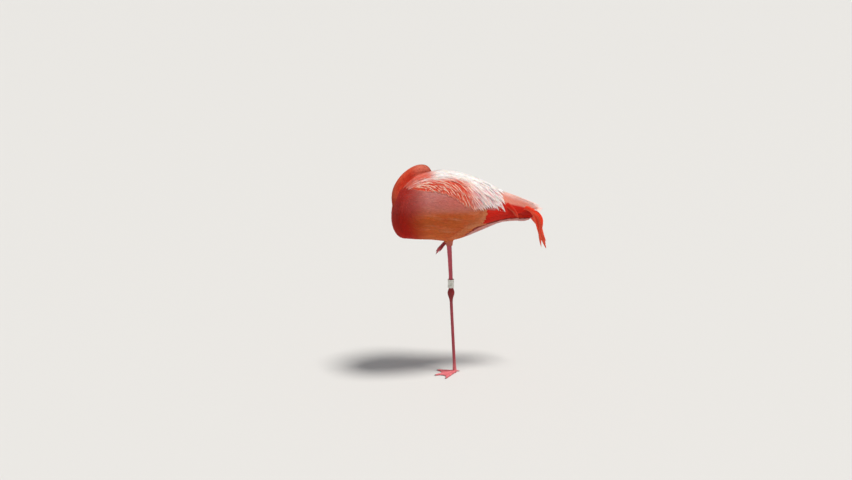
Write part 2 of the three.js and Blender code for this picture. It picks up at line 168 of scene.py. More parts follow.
# =====================================================================================
# Mesh tools
# =====================================================================================
def mesh_object(name, verts, faces, smooth_shade=True):
    """verts in millimetres; faces a list of index tuples or an (n, k) array."""
    me = bpy.data.meshes.new(name)
    v = np.asarray(verts, np.float32) * MM
    if isinstance(faces, np.ndarray):
        n, k = faces.shape
        me.vertices.add(len(v))
        me.vertices.foreach_set("co", v.ravel())
        me.loops.add(n * k)
        me.loops.foreach_set("vertex_index", faces.astype(np.int32).ravel())
        me.polygons.add(n)
        me.polygons.foreach_set("loop_start", (np.arange(n) * k).astype(np.int32))
        me.polygons.foreach_set("loop_total", np.full(n, k, np.int32))
        me.update(calc_edges=True)
        me.validate()
    else:
        me.from_pydata(v.tolist(), [], [list(map(int, f)) for f in faces])
        me.update()
    me.polygons.foreach_set("use_smooth", np.full(len(me.polygons), smooth_shade))
    o = bpy.data.objects.new(name, me)
    bpy.context.scene.collection.objects.link(o)
    return o


def grid_faces(rows, cols, wrap=True, base=0):
    """Quads of a grid of rows by cols, closed round the columns."""
    r = np.arange(rows - 1)[:, None]
    c = np.arange(cols if wrap else cols - 1)[None, :]
    c2 = (c + 1) % cols
    f = np.stack([r * cols + c, (r + 1) * cols + c, (r + 1) * cols + c2, r * cols + c2], -1).reshape(-1, 4)
    return f + base


def frames(centres, up):
    t = unit(np.gradient(centres, axis=0))
    up = np.broadcast_to(np.asarray(up, float), t.shape)
    side = unit(np.cross(t, up))
    return t, side, unit(np.cross(side, t))


def tube(centres, rw, rh, up, sides=24, ends=True):
    """Closed tube with rounded ends: half width rw along the side and rh along up, per station and angle."""
    t, side, top = frames(centres, up)
    n = len(centres)
    a = np.linspace(0, 2 * np.pi, sides, endpoint=False)
    rw = np.broadcast_to(np.asarray(rw, float).reshape(n, -1), (n, sides))
    rh = np.broadcast_to(np.asarray(rh, float).reshape(n, -1), (n, sides))
    v = centres[:, None, :] + side[:, None, :] * (np.cos(a) * rw)[..., None] + top[:, None, :] * (np.sin(a) * rh)[..., None]
    verts = v.reshape(-1, 3)
    faces = [tuple(f) for f in grid_faces(n, sides)[:, ::-1]]
    if ends:
        r0, r1 = rw[0].mean(), rw[-1].mean()
        verts = np.vstack([verts, centres[0] - t[0] * r0 * 0.6, centres[-1] + t[-1] * r1 * 0.8])
        k = n * sides
        faces += [(k, (j + 1) % sides, j) for j in range(sides)]
        faces += [(k + 1, (n - 1) * sides + j, (n - 1) * sides + (j + 1) % sides) for j in range(sides)]
    return verts, faces


def merge(parts):
    vs, fs, base = [], [], 0
    for v, f in parts:
        vs.append(v)
        fs += [tuple(i + base for i in face) for face in f]
        base += len(v)
    return np.vstack(vs), fs


def remesh(o, voxel, rounds=6, factor=0.5):
    m = o.modifiers.new("v", "REMESH")
    m.mode, m.voxel_size, m.adaptivity = "VOXEL", voxel * MM, 0
    if rounds:
        s = o.modifiers.new("s", "SMOOTH")
        s.factor, s.iterations = factor, rounds
    me = bpy.data.meshes.new_from_object(o.evaluated_get(bpy.context.evaluated_depsgraph_get()))
    o.modifiers.clear()
    old = o.data
    o.data = me
    me.name = old.name
    bpy.data.meshes.remove(old)
    me.polygons.foreach_set("use_smooth", np.ones(len(me.polygons), bool))
    return o


def coords(o):
    v = np.zeros(len(o.data.vertices) * 3, np.float32)
    o.data.vertices.foreach_get("co", v)
    return v.reshape(-1, 3).astype(float) / MM


def set_coords(o, v):
    o.data.vertices.foreach_set("co", (np.asarray(v, np.float32) * MM).ravel())
    o.data.update()


def normals(o):
    v = np.zeros(len(o.data.vertices) * 3, np.float32)
    o.data.vertices.foreach_get("normal", v)
    return v.reshape(-1, 3).astype(float)


def noise3(p, scale, seed=0):
    """Cheap smooth noise in -1..1: a few sine waves in fixed directions."""
    g = np.random.default_rng(seed)
    out = 0
    for k in range(5):
        d = unit(g.normal(size=3)) / scale * (1 + 0.7 * k)
        out = out + np.sin(p @ d * 2 * np.pi + g.uniform(0, 6.28)) / (1 + 0.7 * k)
    return out / 2.2


def lin(r, g, b):
    """sRGB 0..255 to linear."""
    c = np.array([r, g, b], float) / 255
    return np.where(c <= 0.04045, c / 12.92, ((c + 0.055) / 1.055) ** 2.4)


def mixc(a, b, t):
    t = np.asarray(t, float)[..., None]
    return a * (1 - t) + b * t


def paint(o, name, rgb):
    at = o.data.color_attributes.new(name, "FLOAT_COLOR", "POINT")
    c = np.ones((len(rgb), 4), np.float32)
    c[:, :3] = rgb
    at.data.foreach_set("color", c.ravel())


# =====================================================================================
# Materials
# =====================================================================================
def material(name, rough=0.6, **sockets):
    m = bpy.data.materials.new(name)
    m.use_nodes = True
    nt = m.node_tree
    b = next(n for n in nt.nodes if n.type == "BSDF_PRINCIPLED")
    b.inputs["Roughness"].default_value = rough
    for k, v in sockets.items():
        b.inputs[k.replace("_", " ")].default_value = v
    return m, nt, b


def node(nt, kind, **inputs):
    n = nt.nodes.new(kind)
    for k, v in inputs.items():
        n.inputs[k].default_value = v
    return n


def mult(nt, a, b, fac=1.0, mode="MULTIPLY"):
    m = nt.nodes.new("ShaderNodeMix")
    m.data_type, m.blend_type = "RGBA", mode
    m.inputs[0].default_value = fac
    for s, x in ((m.inputs[6], a), (m.inputs[7], b)):
        if isinstance(x, tuple):
            s.default_value = (*x, 1)
        else:
            nt.links.new(x, s)
    return m.outputs[2]


def ramp(nt, value, stops):
    r = nt.nodes.new("ShaderNodeValToRGB")
    e = r.color_ramp.elements
    while len(e) < len(stops):
        e.new(0.5)
    for el, (pos, col) in zip(e, stops):
        el.position = pos
        el.color = (*col, 1) if len(col) == 3 else col
    nt.links.new(value, r.inputs[0])
    return r.outputs[0]


def feather_material(name, barb_mm, rough=0.72, strength=0.35, contrast=0.16):
    """Vane colour from the painted attribute, with barbs slanting from the shaft to the tip."""
    m, nt, b = material(name, rough)
    b.inputs["Sheen Weight"].default_value = 0.05
    b.inputs["Sheen Roughness"].default_value = 0.45
    b.inputs["Sheen Tint"].default_value = (1.0, 0.72, 0.64, 1)
    b.inputs["Specular IOR Level"].default_value = 0.10
    b.inputs["Subsurface Weight"].default_value = 0.35
    b.inputs["Subsurface Radius"].default_value = (1.0, 0.35, 0.22)
    b.inputs["Subsurface Scale"].default_value = 0.004
    col = nt.nodes.new("ShaderNodeAttribute"); col.attribute_name = "Col"
    f = nt.nodes.new("ShaderNodeAttribute"); f.attribute_name = "vane"  # x: mm along, y: mm across, z: random
    sep = nt.nodes.new("ShaderNodeSeparateXYZ"); nt.links.new(f.outputs["Vector"], sep.inputs[0])
    ab = node(nt, "ShaderNodeMath"); ab.operation = "ABSOLUTE"; nt.links.new(sep.outputs[1], ab.inputs[0])
    sl = node(nt, "ShaderNodeMath"); sl.operation = "MULTIPLY"; sl.inputs[1].default_value = -1.15; nt.links.new(ab.outputs[0], sl.inputs[0])
    ad = node(nt, "ShaderNodeMath"); ad.operation = "ADD"; nt.links.new(sep.outputs[0], ad.inputs[0]); nt.links.new(sl.outputs[0], ad.inputs[1])
    comb = nt.nodes.new("ShaderNodeCombineXYZ")
    nt.links.new(ad.outputs[0], comb.inputs[0]); nt.links.new(sep.outputs[2], comb.inputs[2])
    mapping = nt.nodes.new("ShaderNodeMapping")
    mapping.inputs["Scale"].default_value = (1 / barb_mm, 1, 37.0)
    nt.links.new(comb.outputs[0], mapping.inputs[0])
    nz = node(nt, "ShaderNodeTexNoise", Scale=1.0, Detail=2.0, Roughness=0.6)
    nt.links.new(mapping.outputs[0], nz.inputs["Vector"])
    barbs = ramp(nt, nz.outputs["Fac"], [(0.32, (1 - contrast,) * 3), (0.68, (1 + contrast * 0.35,) * 3)])
    c = mult(nt, col.outputs["Color"], barbs)
    nt.links.new(c, b.inputs["Base Color"])
    bp = node(nt, "ShaderNodeBump", Strength=strength, Distance=0.0006)
    nt.links.new(nz.outputs["Fac"], bp.inputs["Height"])
    nt.links.new(bp.outputs[0], b.inputs["Normal"])
    return m


def skin_material():
    """Skin under the coat and the bare face: painted colour with fine pores."""
    m, nt, b = material("skin_under_coat", 0.75)
    b.inputs["Specular IOR Level"].default_value = 0.3
    col = nt.nodes.new("ShaderNodeAttribute"); col.attribute_name = "Col"
    tc = nt.nodes.new("ShaderNodeTexCoord")
    nz = node(nt, "ShaderNodeTexNoise", Scale=420.0, Detail=3.0)
    nt.links.new(tc.outputs["Object"], nz.inputs["Vector"])
    c = mult(nt, col.outputs["Color"], ramp(nt, nz.outputs["Fac"], [(0.3, (0.82,) * 3), (0.7, (1.08,) * 3)]))
    nt.links.new(c, b.inputs["Base Color"])
    bp = node(nt, "ShaderNodeBump", Strength=0.3, Distance=0.0006)
    nt.links.new(nz.outputs["Fac"], bp.inputs["Height"]); nt.links.new(bp.outputs[0], b.inputs["Normal"])
    return m


def leg_material():
    """Scaled leg skin: painted colour, small net-like scales, dull shine."""
    m, nt, b = material("leg_scales", 0.48)
    b.inputs["Specular IOR Level"].default_value = 0.42
    col = nt.nodes.new("ShaderNodeAttribute"); col.attribute_name = "Col"
    tc = nt.nodes.new("ShaderNodeTexCoord")
    vo = node(nt, "ShaderNodeTexVoronoi", Scale=520.0); vo.feature = "DISTANCE_TO_EDGE"
    nt.links.new(tc.outputs["Object"], vo.inputs["Vector"])
    edge = ramp(nt, vo.outputs["Distance"], [(0.0, (0.72, 0.66, 0.68)), (0.16, (1.0, 1.0, 1.0))])
    nz = node(nt, "ShaderNodeTexNoise", Scale=60.0, Detail=4.0)
    nt.links.new(tc.outputs["Object"], nz.inputs["Vector"])
    c = mult(nt, col.outputs["Color"], edge, 0.8)
    c = mult(nt, c, ramp(nt, nz.outputs["Fac"], [(0.3, (0.84, 0.8, 0.82)), (0.7, (1.1, 1.08, 1.08))]))
    nt.links.new(c, b.inputs["Base Color"])
    r = ramp(nt, nz.outputs["Fac"], [(0.3, (0.4,) * 3), (0.7, (0.58,) * 3)])
    nt.links.new(r, b.inputs["Roughness"])
    bp = node(nt, "ShaderNodeBump", Strength=0.55, Distance=0.0005)
    nt.links.new(vo.outputs["Distance"], bp.inputs["Height"]); nt.links.new(bp.outputs[0], b.inputs["Normal"])
    return m


FEATHER = feather_material("feather_vanes", 1.6)
PLUME = feather_material("feather_plumes", 2.2, 0.6, 0.45, 0.22)
DOWN = feather_material("feather_down", 0.9, 0.85, 0.2, 0.12)
SKIN = skin_material()
LEG = leg_material()

# =====================================================================================
# Colours of the plumage, by place
# =====================================================================================
C_NECK = lin(250, 84, 54)
C_NECK2 = lin(206, 30, 14)
C_BREAST = lin(186, 28, 14)
C_BELLY = lin(220, 96, 44)
C_MAUVE = lin(200, 88, 80)
C_FLANK = lin(232, 122, 78)
C_ROSE = lin(234, 142, 128)
C_PALE = lin(248, 196, 186)
C_WHITE = lin(255, 236, 230)
C_SCARLET = lin(220, 30, 12)
C_CORAL = lin(226, 68, 38)
C_HOLLOW_SHADE = lin(140, 20, 20)
C_UNDER = lin(228, 146, 138)


def hollow_line(y):
    """Angle of the lower rim of the flank, and of the painted shade line that runs on from it to the tail."""
    return np.interp(y, [0, 12, 30, 56, 93, 117, 150, 200, 290], [-64, -55, -44, -34, -33, -36, -40, -42, -44])


def body_colour(p):
    """Colour of the contour feathers at a place on the body."""
    th = body_angle(p)
    y = p[:, 1]
    c = mixc(np.broadcast_to(C_BELLY, p.shape), np.broadcast_to(C_MAUVE, p.shape), smooth(-8, 26, th))
    c = mixc(c, C_FLANK, smooth(10, 90, y) * smooth(45, 20, th) * 0.8)
    c = mixc(c, C_CORAL, bump(y, 0, 62) * smooth(2, 22, th) * smooth(62, 45, th) * 0.85)
    c = mixc(c, C_PALE, smooth(52, 70, th) * smooth(-112, -88, y) * 0.9)
    c = mixc(c, C_BREAST, smooth(-112, -178, y + 0.30 * np.minimum(th, 30) - 0.5 * np.clip(th - 40, 0, 60)))
    # behind the flank: rose coverts, scarlet below and towards the tail, painted shade under the rump
    rear = smooth(108, 124, y)
    c = mixc(c, C_MAUVE, rear * smooth(-14, -8, th) * smooth(60, 40, th))
    c = mixc(c, C_SCARLET, rear * smooth(-7, -13, th))
    c = mixc(c, C_SCARLET, smooth(172, 196, y) * smooth(26, 14, th))
    c = mixc(c, C_ROSE, smooth(172, 196, y) * smooth(16, 30, th))
    # painted shade in the hollow under the flank, pale feathers under the tail
    line = hollow_line(y)
    c = mixc(c, C_HOLLOW_SHADE, smooth(4, 24, y) * smooth(0, -3, th - line) * 0.9)
    c = mixc(c, C_UNDER, smooth(4, 30, y) * smooth(-7, -12, th - line))
    flank = smooth(-150, -110, y) * smooth(130, 105, y) * smooth(56, 46, th)
    streak = noise3(np.c_[p[:, 0], p[:, 1] * 0.14, p[:, 2] + 0.10 * p[:, 1]], 15, 3)
    c = c * (1 + 0.10 * streak)[:, None]
    c = mixc(c, lin(240, 150, 118), np.clip(noise3(np.c_[p[:, 0], p[:, 1] * 0.2, p[:, 2] + 0.12 * p[:, 1]], 26, 31) - 0.05, 0, 1) * 0.30 * flank)
    c = mixc(c, C_CORAL, np.clip(noise3(p, 60, 21), 0, 1) * 0.3 * smooth(-150, -90, y) * smooth(60, 40, th))
    c = mixc(c, lin(222, 140, 132), 0.38 * smooth(-150, -105, y) * smooth(100, 60, y) * smooth(-6, 10, th) * smooth(60, 40, th))
    return c


# =====================================================================================
# Skin: trunk, wings, neck and head in one closed surface inside the solids
# =====================================================================================
INSET = 4.0
THIGH_L = [[19, -9, 545], [16, -6, 515], [12.5, -3, 494], [10, -1.5, 474]]
THIGH_R = [[-34, 118, 584], [-41, 160, 583], [-44, 200, 579], [-43, 230, 574.5]]


# skull: crown, nape, cheeks, hollow lores, and a brow over each eye
SKULL = np.array([[-34, 15, 17, 15], [-20, 18.2, 20.6, 17.6], [-8, 18.6, 21.2, 18], [6, 17.6, 20, 16.6],
                  [18, 14.8, 16.4, 16.2], [28, 12.8, 13.8, 16.4], [37, 11.2, 11.8, 14.6]])


def skull_point(x, a):
    w, up, dn = (table(SKULL, x, c) - 0.9 for c in (1, 2, 3))
    end = np.sqrt(np.maximum(0.02, 1 - np.maximum(0, (-20 - x) / 15) ** 2))
    ca, sa = np.cos(a), np.sin(a)
    eye = bump(x, 11, 9) * bump(sa, 0.28, 0.34) * (np.abs(ca) > 0.3)
    brow = 1 + 0.05 * bump(x, 11, 10) * bump(sa, 0.78, 0.18)
    cheek = 1 + 0.09 * bump(x, -4, 11) * bump(sa, -0.45, 0.35)
    lore = 1 - 0.10 * bump(x, 27, 7) * bump(np.abs(ca), 1, 0.4)
    wide = w * end * ca * (1 - 0.16 * eye) * brow * cheek * lore
    high = np.where(sa > 0, up, dn) * end * sa * brow * cheek
    return in_head(x, wide, high)


def build_skin():
    n, m = 90, 80
    u = np.linspace(0, np.pi, n)[1:-1]
    y = (FRONT + REAR) / 2 - (REAR - FRONT - 2 * INSET) / 2 * np.cos(u)
    yy, aa = np.meshgrid(y, np.linspace(0, 360, m, endpoint=False), indexing="ij")
    # the inset body keeps the round ends of the envelope
    scale = (REAR - FRONT) / (REAR - FRONT - 2 * INSET)
    mid = (FRONT + REAR) / 2
    v = body_point(mid + (yy - mid) * scale, aa, -INSET)
    v[..., 1] = yy
    v = v.reshape(-1, 3)
    f = [tuple(q) for q in grid_faces(n - 2, m)]
    k = len(v)
    v = np.vstack([v, [0, FRONT + INSET, body_centre(FRONT)], [0, REAR - INSET, body_centre(REAR)]])
    f += [(k, j, (j + 1) % m) for j in range(m)]
    last = (n - 3) * m
    f += [(k + 1, last + (j + 1) % m, last + j) for j in range(m)]
    body = (v, f)

    nk = along(neck_path, 70)
    r = nk[:, 3] - 3.2
    neck = tube(nk[:, :3], r, r, (0.9, 0.25, 0.35), 28)

    xs = np.linspace(-34, 37, 40)
    a = np.linspace(0, 2 * np.pi, 36, endpoint=False)
    V = np.array([skull_point(np.full_like(a, x), a) for x in xs]).reshape(-1, 3)
    F = [tuple(q) for q in grid_faces(len(xs), 36)]
    k = len(V)
    V = np.vstack([V, in_head(-35.5, 0, 0), in_head(38, 0, -1)])
    F += [(k, j, (j + 1) % 36) for j in range(36)]
    F += [(k + 1, (len(xs) - 1) * 36 + (j + 1) % 36, (len(xs) - 1) * 36 + j) for j in range(36)]
    head = (V, F)

    # feathered top of the standing shank and of the folded one
    thigh = tube(np.array(THIGH_L, float), [26, 20, 13, 8.6], [30, 23, 15, 9.2], (0, -1, 0), 20)
    thigh2 = tube(np.array(THIGH_R, float), [24, 19, 12.5, 7.8], [22, 17, 12, 7.8], (0, 0, 1), 20)
    v, f = merge([body, neck, head, thigh, thigh2])
    o = mesh_object("skin", v, f)
    return remesh(o, 2.5, 6, 0.5)


skin = build_skin()
SV = coords(skin)
SN = normals(skin)
polys = np.zeros(len(skin.data.loops), np.int32)
skin.data.loops.foreach_get("vertex_index", polys)
starts = np.zeros(len(skin.data.polygons), np.int32)
skin.data.polygons.foreach_get("loop_start", starts)
QUADS = np.stack([polys[starts + k] for k in range(4)], 1)
print("skin", len(SV), len(QUADS), round(time.time() - T0, 1))


class Surface:
    """Nearest point and smooth normal on a set of meshes."""

    def __init__(self, verts, faces, vnormals):
        self.v, self.f, self.n = verts, faces, vnormals
        self.tree = BVHTree.FromPolygons(verts.tolist(), faces.tolist())

    def project(self, p):
        loc, nor = np.empty_like(p), np.empty_like(p)
        near, f, n, v = self.tree.find_nearest, self.f, self.n, self.v
        idx = np.empty(len(p), int)
        for i, q in enumerate(p.tolist()):
            a, b, k, d = near(q)
            loc[i] = a
            idx[i] = k
        q = f[idx]
        w = 1.0 / (np.linalg.norm(v[q] - loc[:, None, :], axis=2) + 0.3)
        nor = unit((n[q] * w[..., None]).sum(1))
        return loc, nor


surface = Surface(SV, QUADS, SN)


def neck_near(p):
    """Nearest station of the neck, and its distance beyond the neck's own radius."""
    best = np.full(len(p), 1e9)
    at = np.zeros(len(p), int)
    for k in range(0, len(neck_c), 2):
        d = np.linalg.norm(p - neck_c[k], axis=1) - neck_r[k]
        m = d < best
        best[m] = d[m]
        at[m] = k
    return at, best


def head_near(p):
    """How far a point is from the head's surface, roughly, negative inside."""
    x, y, z = to_head(p)
    cx = np.clip(x, -20, 34)
    r = np.interp(cx, [-20, 0, 20, 34], [20, 20, 16, 11])
    return np.sqrt((x - cx) ** 2 + y ** 2 + z ** 2) - r


# skin colour
def neckness(p):
    at, d = neck_near(p)
    return at, smooth(9, 1, d) * smooth(1, 16, at)


at_, w_ = neckness(SV)
SC = body_colour(SV) * 0.8
SC = mixc(SC, C_NECK2 * 0.8, w_)
hd = head_near(SV)
SC = mixc(SC, C_NECK2, smooth(4, 0, hd))
hx, hy, hz = to_head(SV)
bare = smooth(16, 25, hx - 0.25 * hz) * smooth(4, 1, hd)
SC = mixc(SC, lin(243, 205, 196), bare)
ring_ = np.sqrt((hx - 11) ** 2 + (hz - 5) ** 2)
SC = mixc(SC, lin(232, 160, 150), smooth(11, 8, ring_) * smooth(4, 1, hd))
paint(skin, "Col", SC)
skin.data.materials.append(SKIN)


# =====================================================================================
# Feathers
# =====================================================================================
SOFT = lambda s: np.minimum(1, (s / 0.25 + 0.2)) ** 0.7 * np.clip(1 - (np.clip(s - 0.42, 0, 1) / 0.58) ** 1.9, 0, 1) ** 0.8 + 0.03
LANCE = lambda s: np.minimum(1, (s / 0.25 + 0.15)) ** 0.7 * np.clip(1 - (np.clip(s - 0.35, 0, 1) / 0.65) ** 1.9, 0, 1) ** 0.85 + 0.02
SPEAR = lambda s: np.minimum(1, (s / 0.2 + 0.15)) ** 0.7 * np.clip(1 - (np.clip(s - 0.66, 0, 1) / 0.34) ** 1.7, 0, 1) ** 0.9 + 0.02
BROAD = lambda s: np.minimum(1, (s / 0.3 + 0.2)) ** 0.6 * np.sqrt(np.clip(1 - (np.clip(s - 0.72, 0, 1) / 0.28) ** 2.4, 0.0, 1)) + 0.02


def settle(points, reach):
    """Puts the points on the skin and drops those that lie under another part of it."""
    q, n = surface.project(points)
    ok = np.linalg.norm(q - points, axis=1) < reach
    return ok, q


def body_rows(ds, across, jitter, seed):
    """Places in staggered rows round the body, from the breast to the rump."""
    g = np.random.default_rng(seed)
    ys = np.linspace(FRONT + 0.2, REAR - 0.2, 1500)
    k0 = np.clip(1 - (ys - FRONT) / CAP[0], 0, 1); k1 = np.clip(1 - (REAR - ys) / CAP[1], 0, 1)
    cap = np.sqrt(np.maximum(0, 1 - k0 ** 2)) * np.sqrt(np.maximum(0, 1 - k1 ** 2))
    h, w = body_half(ys)
    A, B = (w - INSET) * cap, (h - INSET) * cap
    arc = np.r_[0, np.cumsum(np.hypot(np.diff(ys), np.diff((A + B) / 2)))]
    Yo, Ao = [], []
    for i, sv in enumerate(np.arange(ds * 0.6, arc[-1], ds)):
        y, a_, b_ = (np.interp(sv, arc, v) for v in (ys, A, B))
        per = math.pi * (3 * (a_ + b_) - math.sqrt((3 * a_ + b_) * (a_ + 3 * b_)))
        n = max(4, int(per / across))
        Ao.append(((np.arange(n) + 0.5 * (i % 2)) + (g.random(n) - 0.5) * jitter) * 360 / n)
        Yo.append(y + (g.random(n) - 0.5) * jitter * ds * smooth(0, 12, y - FRONT))
    return np.concatenate(Yo), np.concatenate(Ao)


def on_inset(y, ang, grow):
    """Point of the body at the coat's root: the envelope drawn in on every side, its ends too."""
    p = body_point(y, ang, grow)
    mid = (FRONT + REAR) / 2
    p[..., 1] = mid + (p[..., 1] - mid) * (REAR - FRONT + 2 * grow) / (REAR - FRONT)
    return p


def tube_rows(centres, radii, up, ds, across, jitter, seed):
    """Places in staggered rows round a tube."""
    g = np.random.default_rng(seed)
    d = np.r_[0, np.cumsum(np.linalg.norm(np.diff(centres, axis=0), axis=1))]
    t, side, top = frames(centres, up)
    out = []
    for i, sv in enumerate(np.arange(ds * 0.5, d[-1], ds)):
        c, sd, tp, tn = (np.array([np.interp(sv, d, q[:, k]) for k in range(3)]) for q in (centres, side, top, t))
        r = np.interp(sv, d, radii)
        n = max(5, int(2 * math.pi * r / across))
        a = ((np.arange(n) + 0.5 * (i % 2)) + (g.random(n) - 0.5) * jitter) * 2 * math.pi / n
        out.append(c + (np.cos(a)[:, None] * sd + np.sin(a)[:, None] * tp) * r + tn * ((g.random(n) - 0.5) * jitter * ds)[:, None])
    return np.vstack(out)


def vanes(name, roots, dirs, L, W, colour, uv, profile=SOFT, K=5, inner=1, lift=(0.2, 2.0), camber=0.16,
          thick=0.5, on=None, mat=None, keep=None, ripple=0.05, calm=0.5, twist=0.08, path=None):
    """One closed, thin, cambered vane for each root, laid along the surface in the direction dirs gives.

    dirs(p, n, s, i) is the direction at a point, L and W are length and half width, colour(i, s, a) gives
    the colour at s along and a across, and lift is the height over the surface at the root and at the tip.
    """
    on = on or surface
    N = len(roots)
    if not N:
        return []
    idx = np.arange(N)
    p, n = on.project(roots)
    P, Nn = [p], [n]
    if path is not None:
        P, Nn = [], []
        for k in range(K + 1):
            q, m = on.project(path[k])
            P.append(q)
            Nn.append(m)
    for k in range(K if path is None else 0):
        d = dirs(P[-1], Nn[-1], (k + 0.5) / K, idx)
        d = unit(d - (d * Nn[-1]).sum(1, keepdims=True) * Nn[-1])
        q, m = on.project(P[-1] + d * (L / K)[:, None])
        P.append(q)
        Nn.append(unit(m * 0.7 + Nn[-1] * 0.3))
    P, Nn = np.array(P), np.array(Nn)  # K+1, N, 3
    if keep is not None:
        ok = keep(P, Nn)
        P, Nn, idx, L, W, roots = P[:, ok], Nn[:, ok], idx[ok], L[ok], W[ok], roots[ok]
        N = len(idx)
        uv = uv[ok]
    # a light smoothing of the path keeps the vane from kinking
    Q = P.copy()
    Q[1:-1] = 0.25 * P[:-2] + 0.5 * P[1:-1] + 0.25 * P[2:]
    P = Q
    s = np.linspace(0, 1, K + 1)
    l0, l1 = (np.asarray(v)[idx] if np.ndim(v) else np.full(N, float(v)) for v in lift)
    hgt = l0[None, :] + (l1 - l0)[None, :] * s[:, None] ** 1.5
    var = 0.75 + 0.5 * rng.random(N)
    P = P + Nn * (hgt * var[None, :])[..., None]
    T = unit(np.gradient(P, axis=0))
    S = unit(np.cross(T, Nn))
    U = unit(np.cross(S, T))
    M = inner
    cols = np.linspace(-1, 1, M + 2)
    ring_a = np.r_[cols, cols[-2:0:-1]]
    top = np.r_[0, np.ones(M), 0, -np.ones(M)]
    R = len(ring_a)
    w = profile(s)[:, None] * W[None, :]
    if ripple:
        ph = rng.uniform(0, 6.28, N)
        w = w * (1 + ripple * np.sin(s[:, None] * 17 + ph[None, :]))
    tw = rng.normal(0, twist, N)  # each vane is turned a little about its shaft
    h = camber * (1 - ring_a ** 2)[None, None, :] * w[..., None] + top[None, None, :] * thick * 0.5 \
        + tw[None, :, None] * ring_a[None, None, :] * w[..., None] * s[:, None, None]
    V = P[:, :, None, :] + S[:, :, None, :] * (ring_a[None, None, :] * w[..., None])[..., None] + U[:, :, None, :] * h[..., None]
    V = V.transpose(1, 0, 2, 3)  # N, K+1, R, 3
    # shading leans towards the surface beneath, so that the coat looks like one soft cover
    face = unit(U[:, :, None, :] - S[:, :, None, :] * (2 * camber * ring_a)[None, None, :, None] * 0.8)
    VN = unit(Nn[:, :, None, :] * calm + face * (1 - calm)) * np.where(top < 0, -1, 1)[None, None, :, None]
    VN = VN.transpose(1, 0, 2, 3)
    base = np.arange(K + 1)[:, None] * R + np.arange(R)[None, :]
    q = []
    for k in range(K):
        for j in range(R):
            j2 = (j + 1) % R
            q.append((base[k, j], base[k, j2], base[k + 1, j2], base[k + 1, j]))
    # close both ends with quads across the ring
    for k, flip in ((0, True), (K, False)):
        for j in range(R // 2 - 1) if R > 4 else [0]:
            face = (base[k, j], base[k, j + 1], base[k, R - 1 - j - 0 if R == 4 else (R - j - 1)], base[k, (R - j) % R])
            if R == 4:
                face = (base[k, 0], base[k, 1], base[k, 2], base[k, 3])
            q.append(face[::-1] if flip else face)
    tmpl = np.array([f for f in q if len(set(f)) == 4], int)
    tri = [f for f in q if len(set(f)) == 3]
    tris_each = len(tmpl) * 2 + len(tri)
    per = int(190000 // tris_each)
    A = np.broadcast_to(ring_a[None, None, :], (N, K + 1, R))
    SS = np.broadcast_to(s[None, :, None], (N, K + 1, R))
    C = colour(idx, SS, A, roots)
    out = []
    vn = (K + 1) * R
    for start in range(0, N, per):
        sl = slice(start, min(start + per, N))
        cnt = sl.stop - sl.start
        verts = V[sl].reshape(-1, 3)
        faces = (tmpl[None] + (np.arange(cnt) * vn)[:, None, None]).reshape(-1, 4)
        o = mesh_object(f"{name}_{start // per + 1}", verts, faces)
        me = o.data
        paint(o, "Col", C[sl].reshape(-1, 3))
        vec = np.zeros((cnt, K + 1, R, 3), np.float32)
        vec[..., 0] = SS[sl] * L[sl][:, None, None]
        vec[..., 1] = A[sl] * W[sl][:, None, None]
        vec[..., 2] = rng.random(cnt)[:, None, None]
        at = me.attributes.new("vane", "FLOAT_VECTOR", "POINT")
        at.data.foreach_set("vector", vec.ravel())
        # the patch of the bake map at the root's place
        um = np.zeros((cnt, K + 1, R, 2), np.float32)
        um[..., 0] = uv[sl, 0][:, None, None] + A[sl] * 0.0014
        um[..., 1] = uv[sl, 1][:, None, None] + (SS[sl] - 0.5) * 0.003
        um = um.reshape(-1, 2)
        li = np.zeros(len(me.loops), np.int32)
        me.loops.foreach_get("vertex_index", li)
        layer = me.uv_layers.new(name="OFBake")
        layer.data.foreach_set("uv", um[li].ravel())
        # crisp edges on both sides of the vane
        ed = np.zeros(len(me.edges) * 2, np.int32)
        me.edges.foreach_get("vertices", ed)
        ed = ed.reshape(-1, 2) % vn % R
        sharp = (ed[:, 0] == ed[:, 1]) & ((ed[:, 0] == 0) | (ed[:, 0] == M + 1))
        sa = me.attributes.new("sharp_edge", "BOOLEAN", "EDGE")
        sa.data.foreach_set("value", sharp)
        me.normals_split_custom_set_from_vertices(VN[sl].reshape(-1, 3).tolist())
        me.materials.append(mat or FEATHER)
        out.append(o)
    return out


COAT = []


def uv_body(p):
    h, w = body_half(p[:, 1])
    a = np.arctan2((p[:, 2] - body_centre(p[:, 1])) / h, p[:, 0] / w) / (2 * np.pi) + 0.5
    u = (p[:, 1] - FRONT) / (REAR - FRONT)
    return np.clip(np.c_[0.01 + 0.98 * u, 0.01 + 0.98 * a], 0.005, 0.995)


def uv_neck(p):
    at, d = neck_near(p)
    e = p - neck_c[at]
    t = neck_t[at]
    ref = np.array([0.9, 0.25, 0.35])
    side = unit(np.cross(t, ref)); top = unit(np.cross(side, t))
    a = np.arctan2((e * top).sum(1), (e * side).sum(1)) / (2 * np.pi) + 0.5
    return np.clip(np.c_[0.01 + 0.98 * at / len(neck_c), 0.01 + 0.98 * a], 0.005, 0.995)


def uv_head(p):
    x, y, z = to_head(p)
    a = np.arctan2(z, y) / (2 * np.pi) + 0.5
    return np.clip(np.c_[(x + 40) / 85, 0.01 + 0.98 * a], 0.005, 0.995)


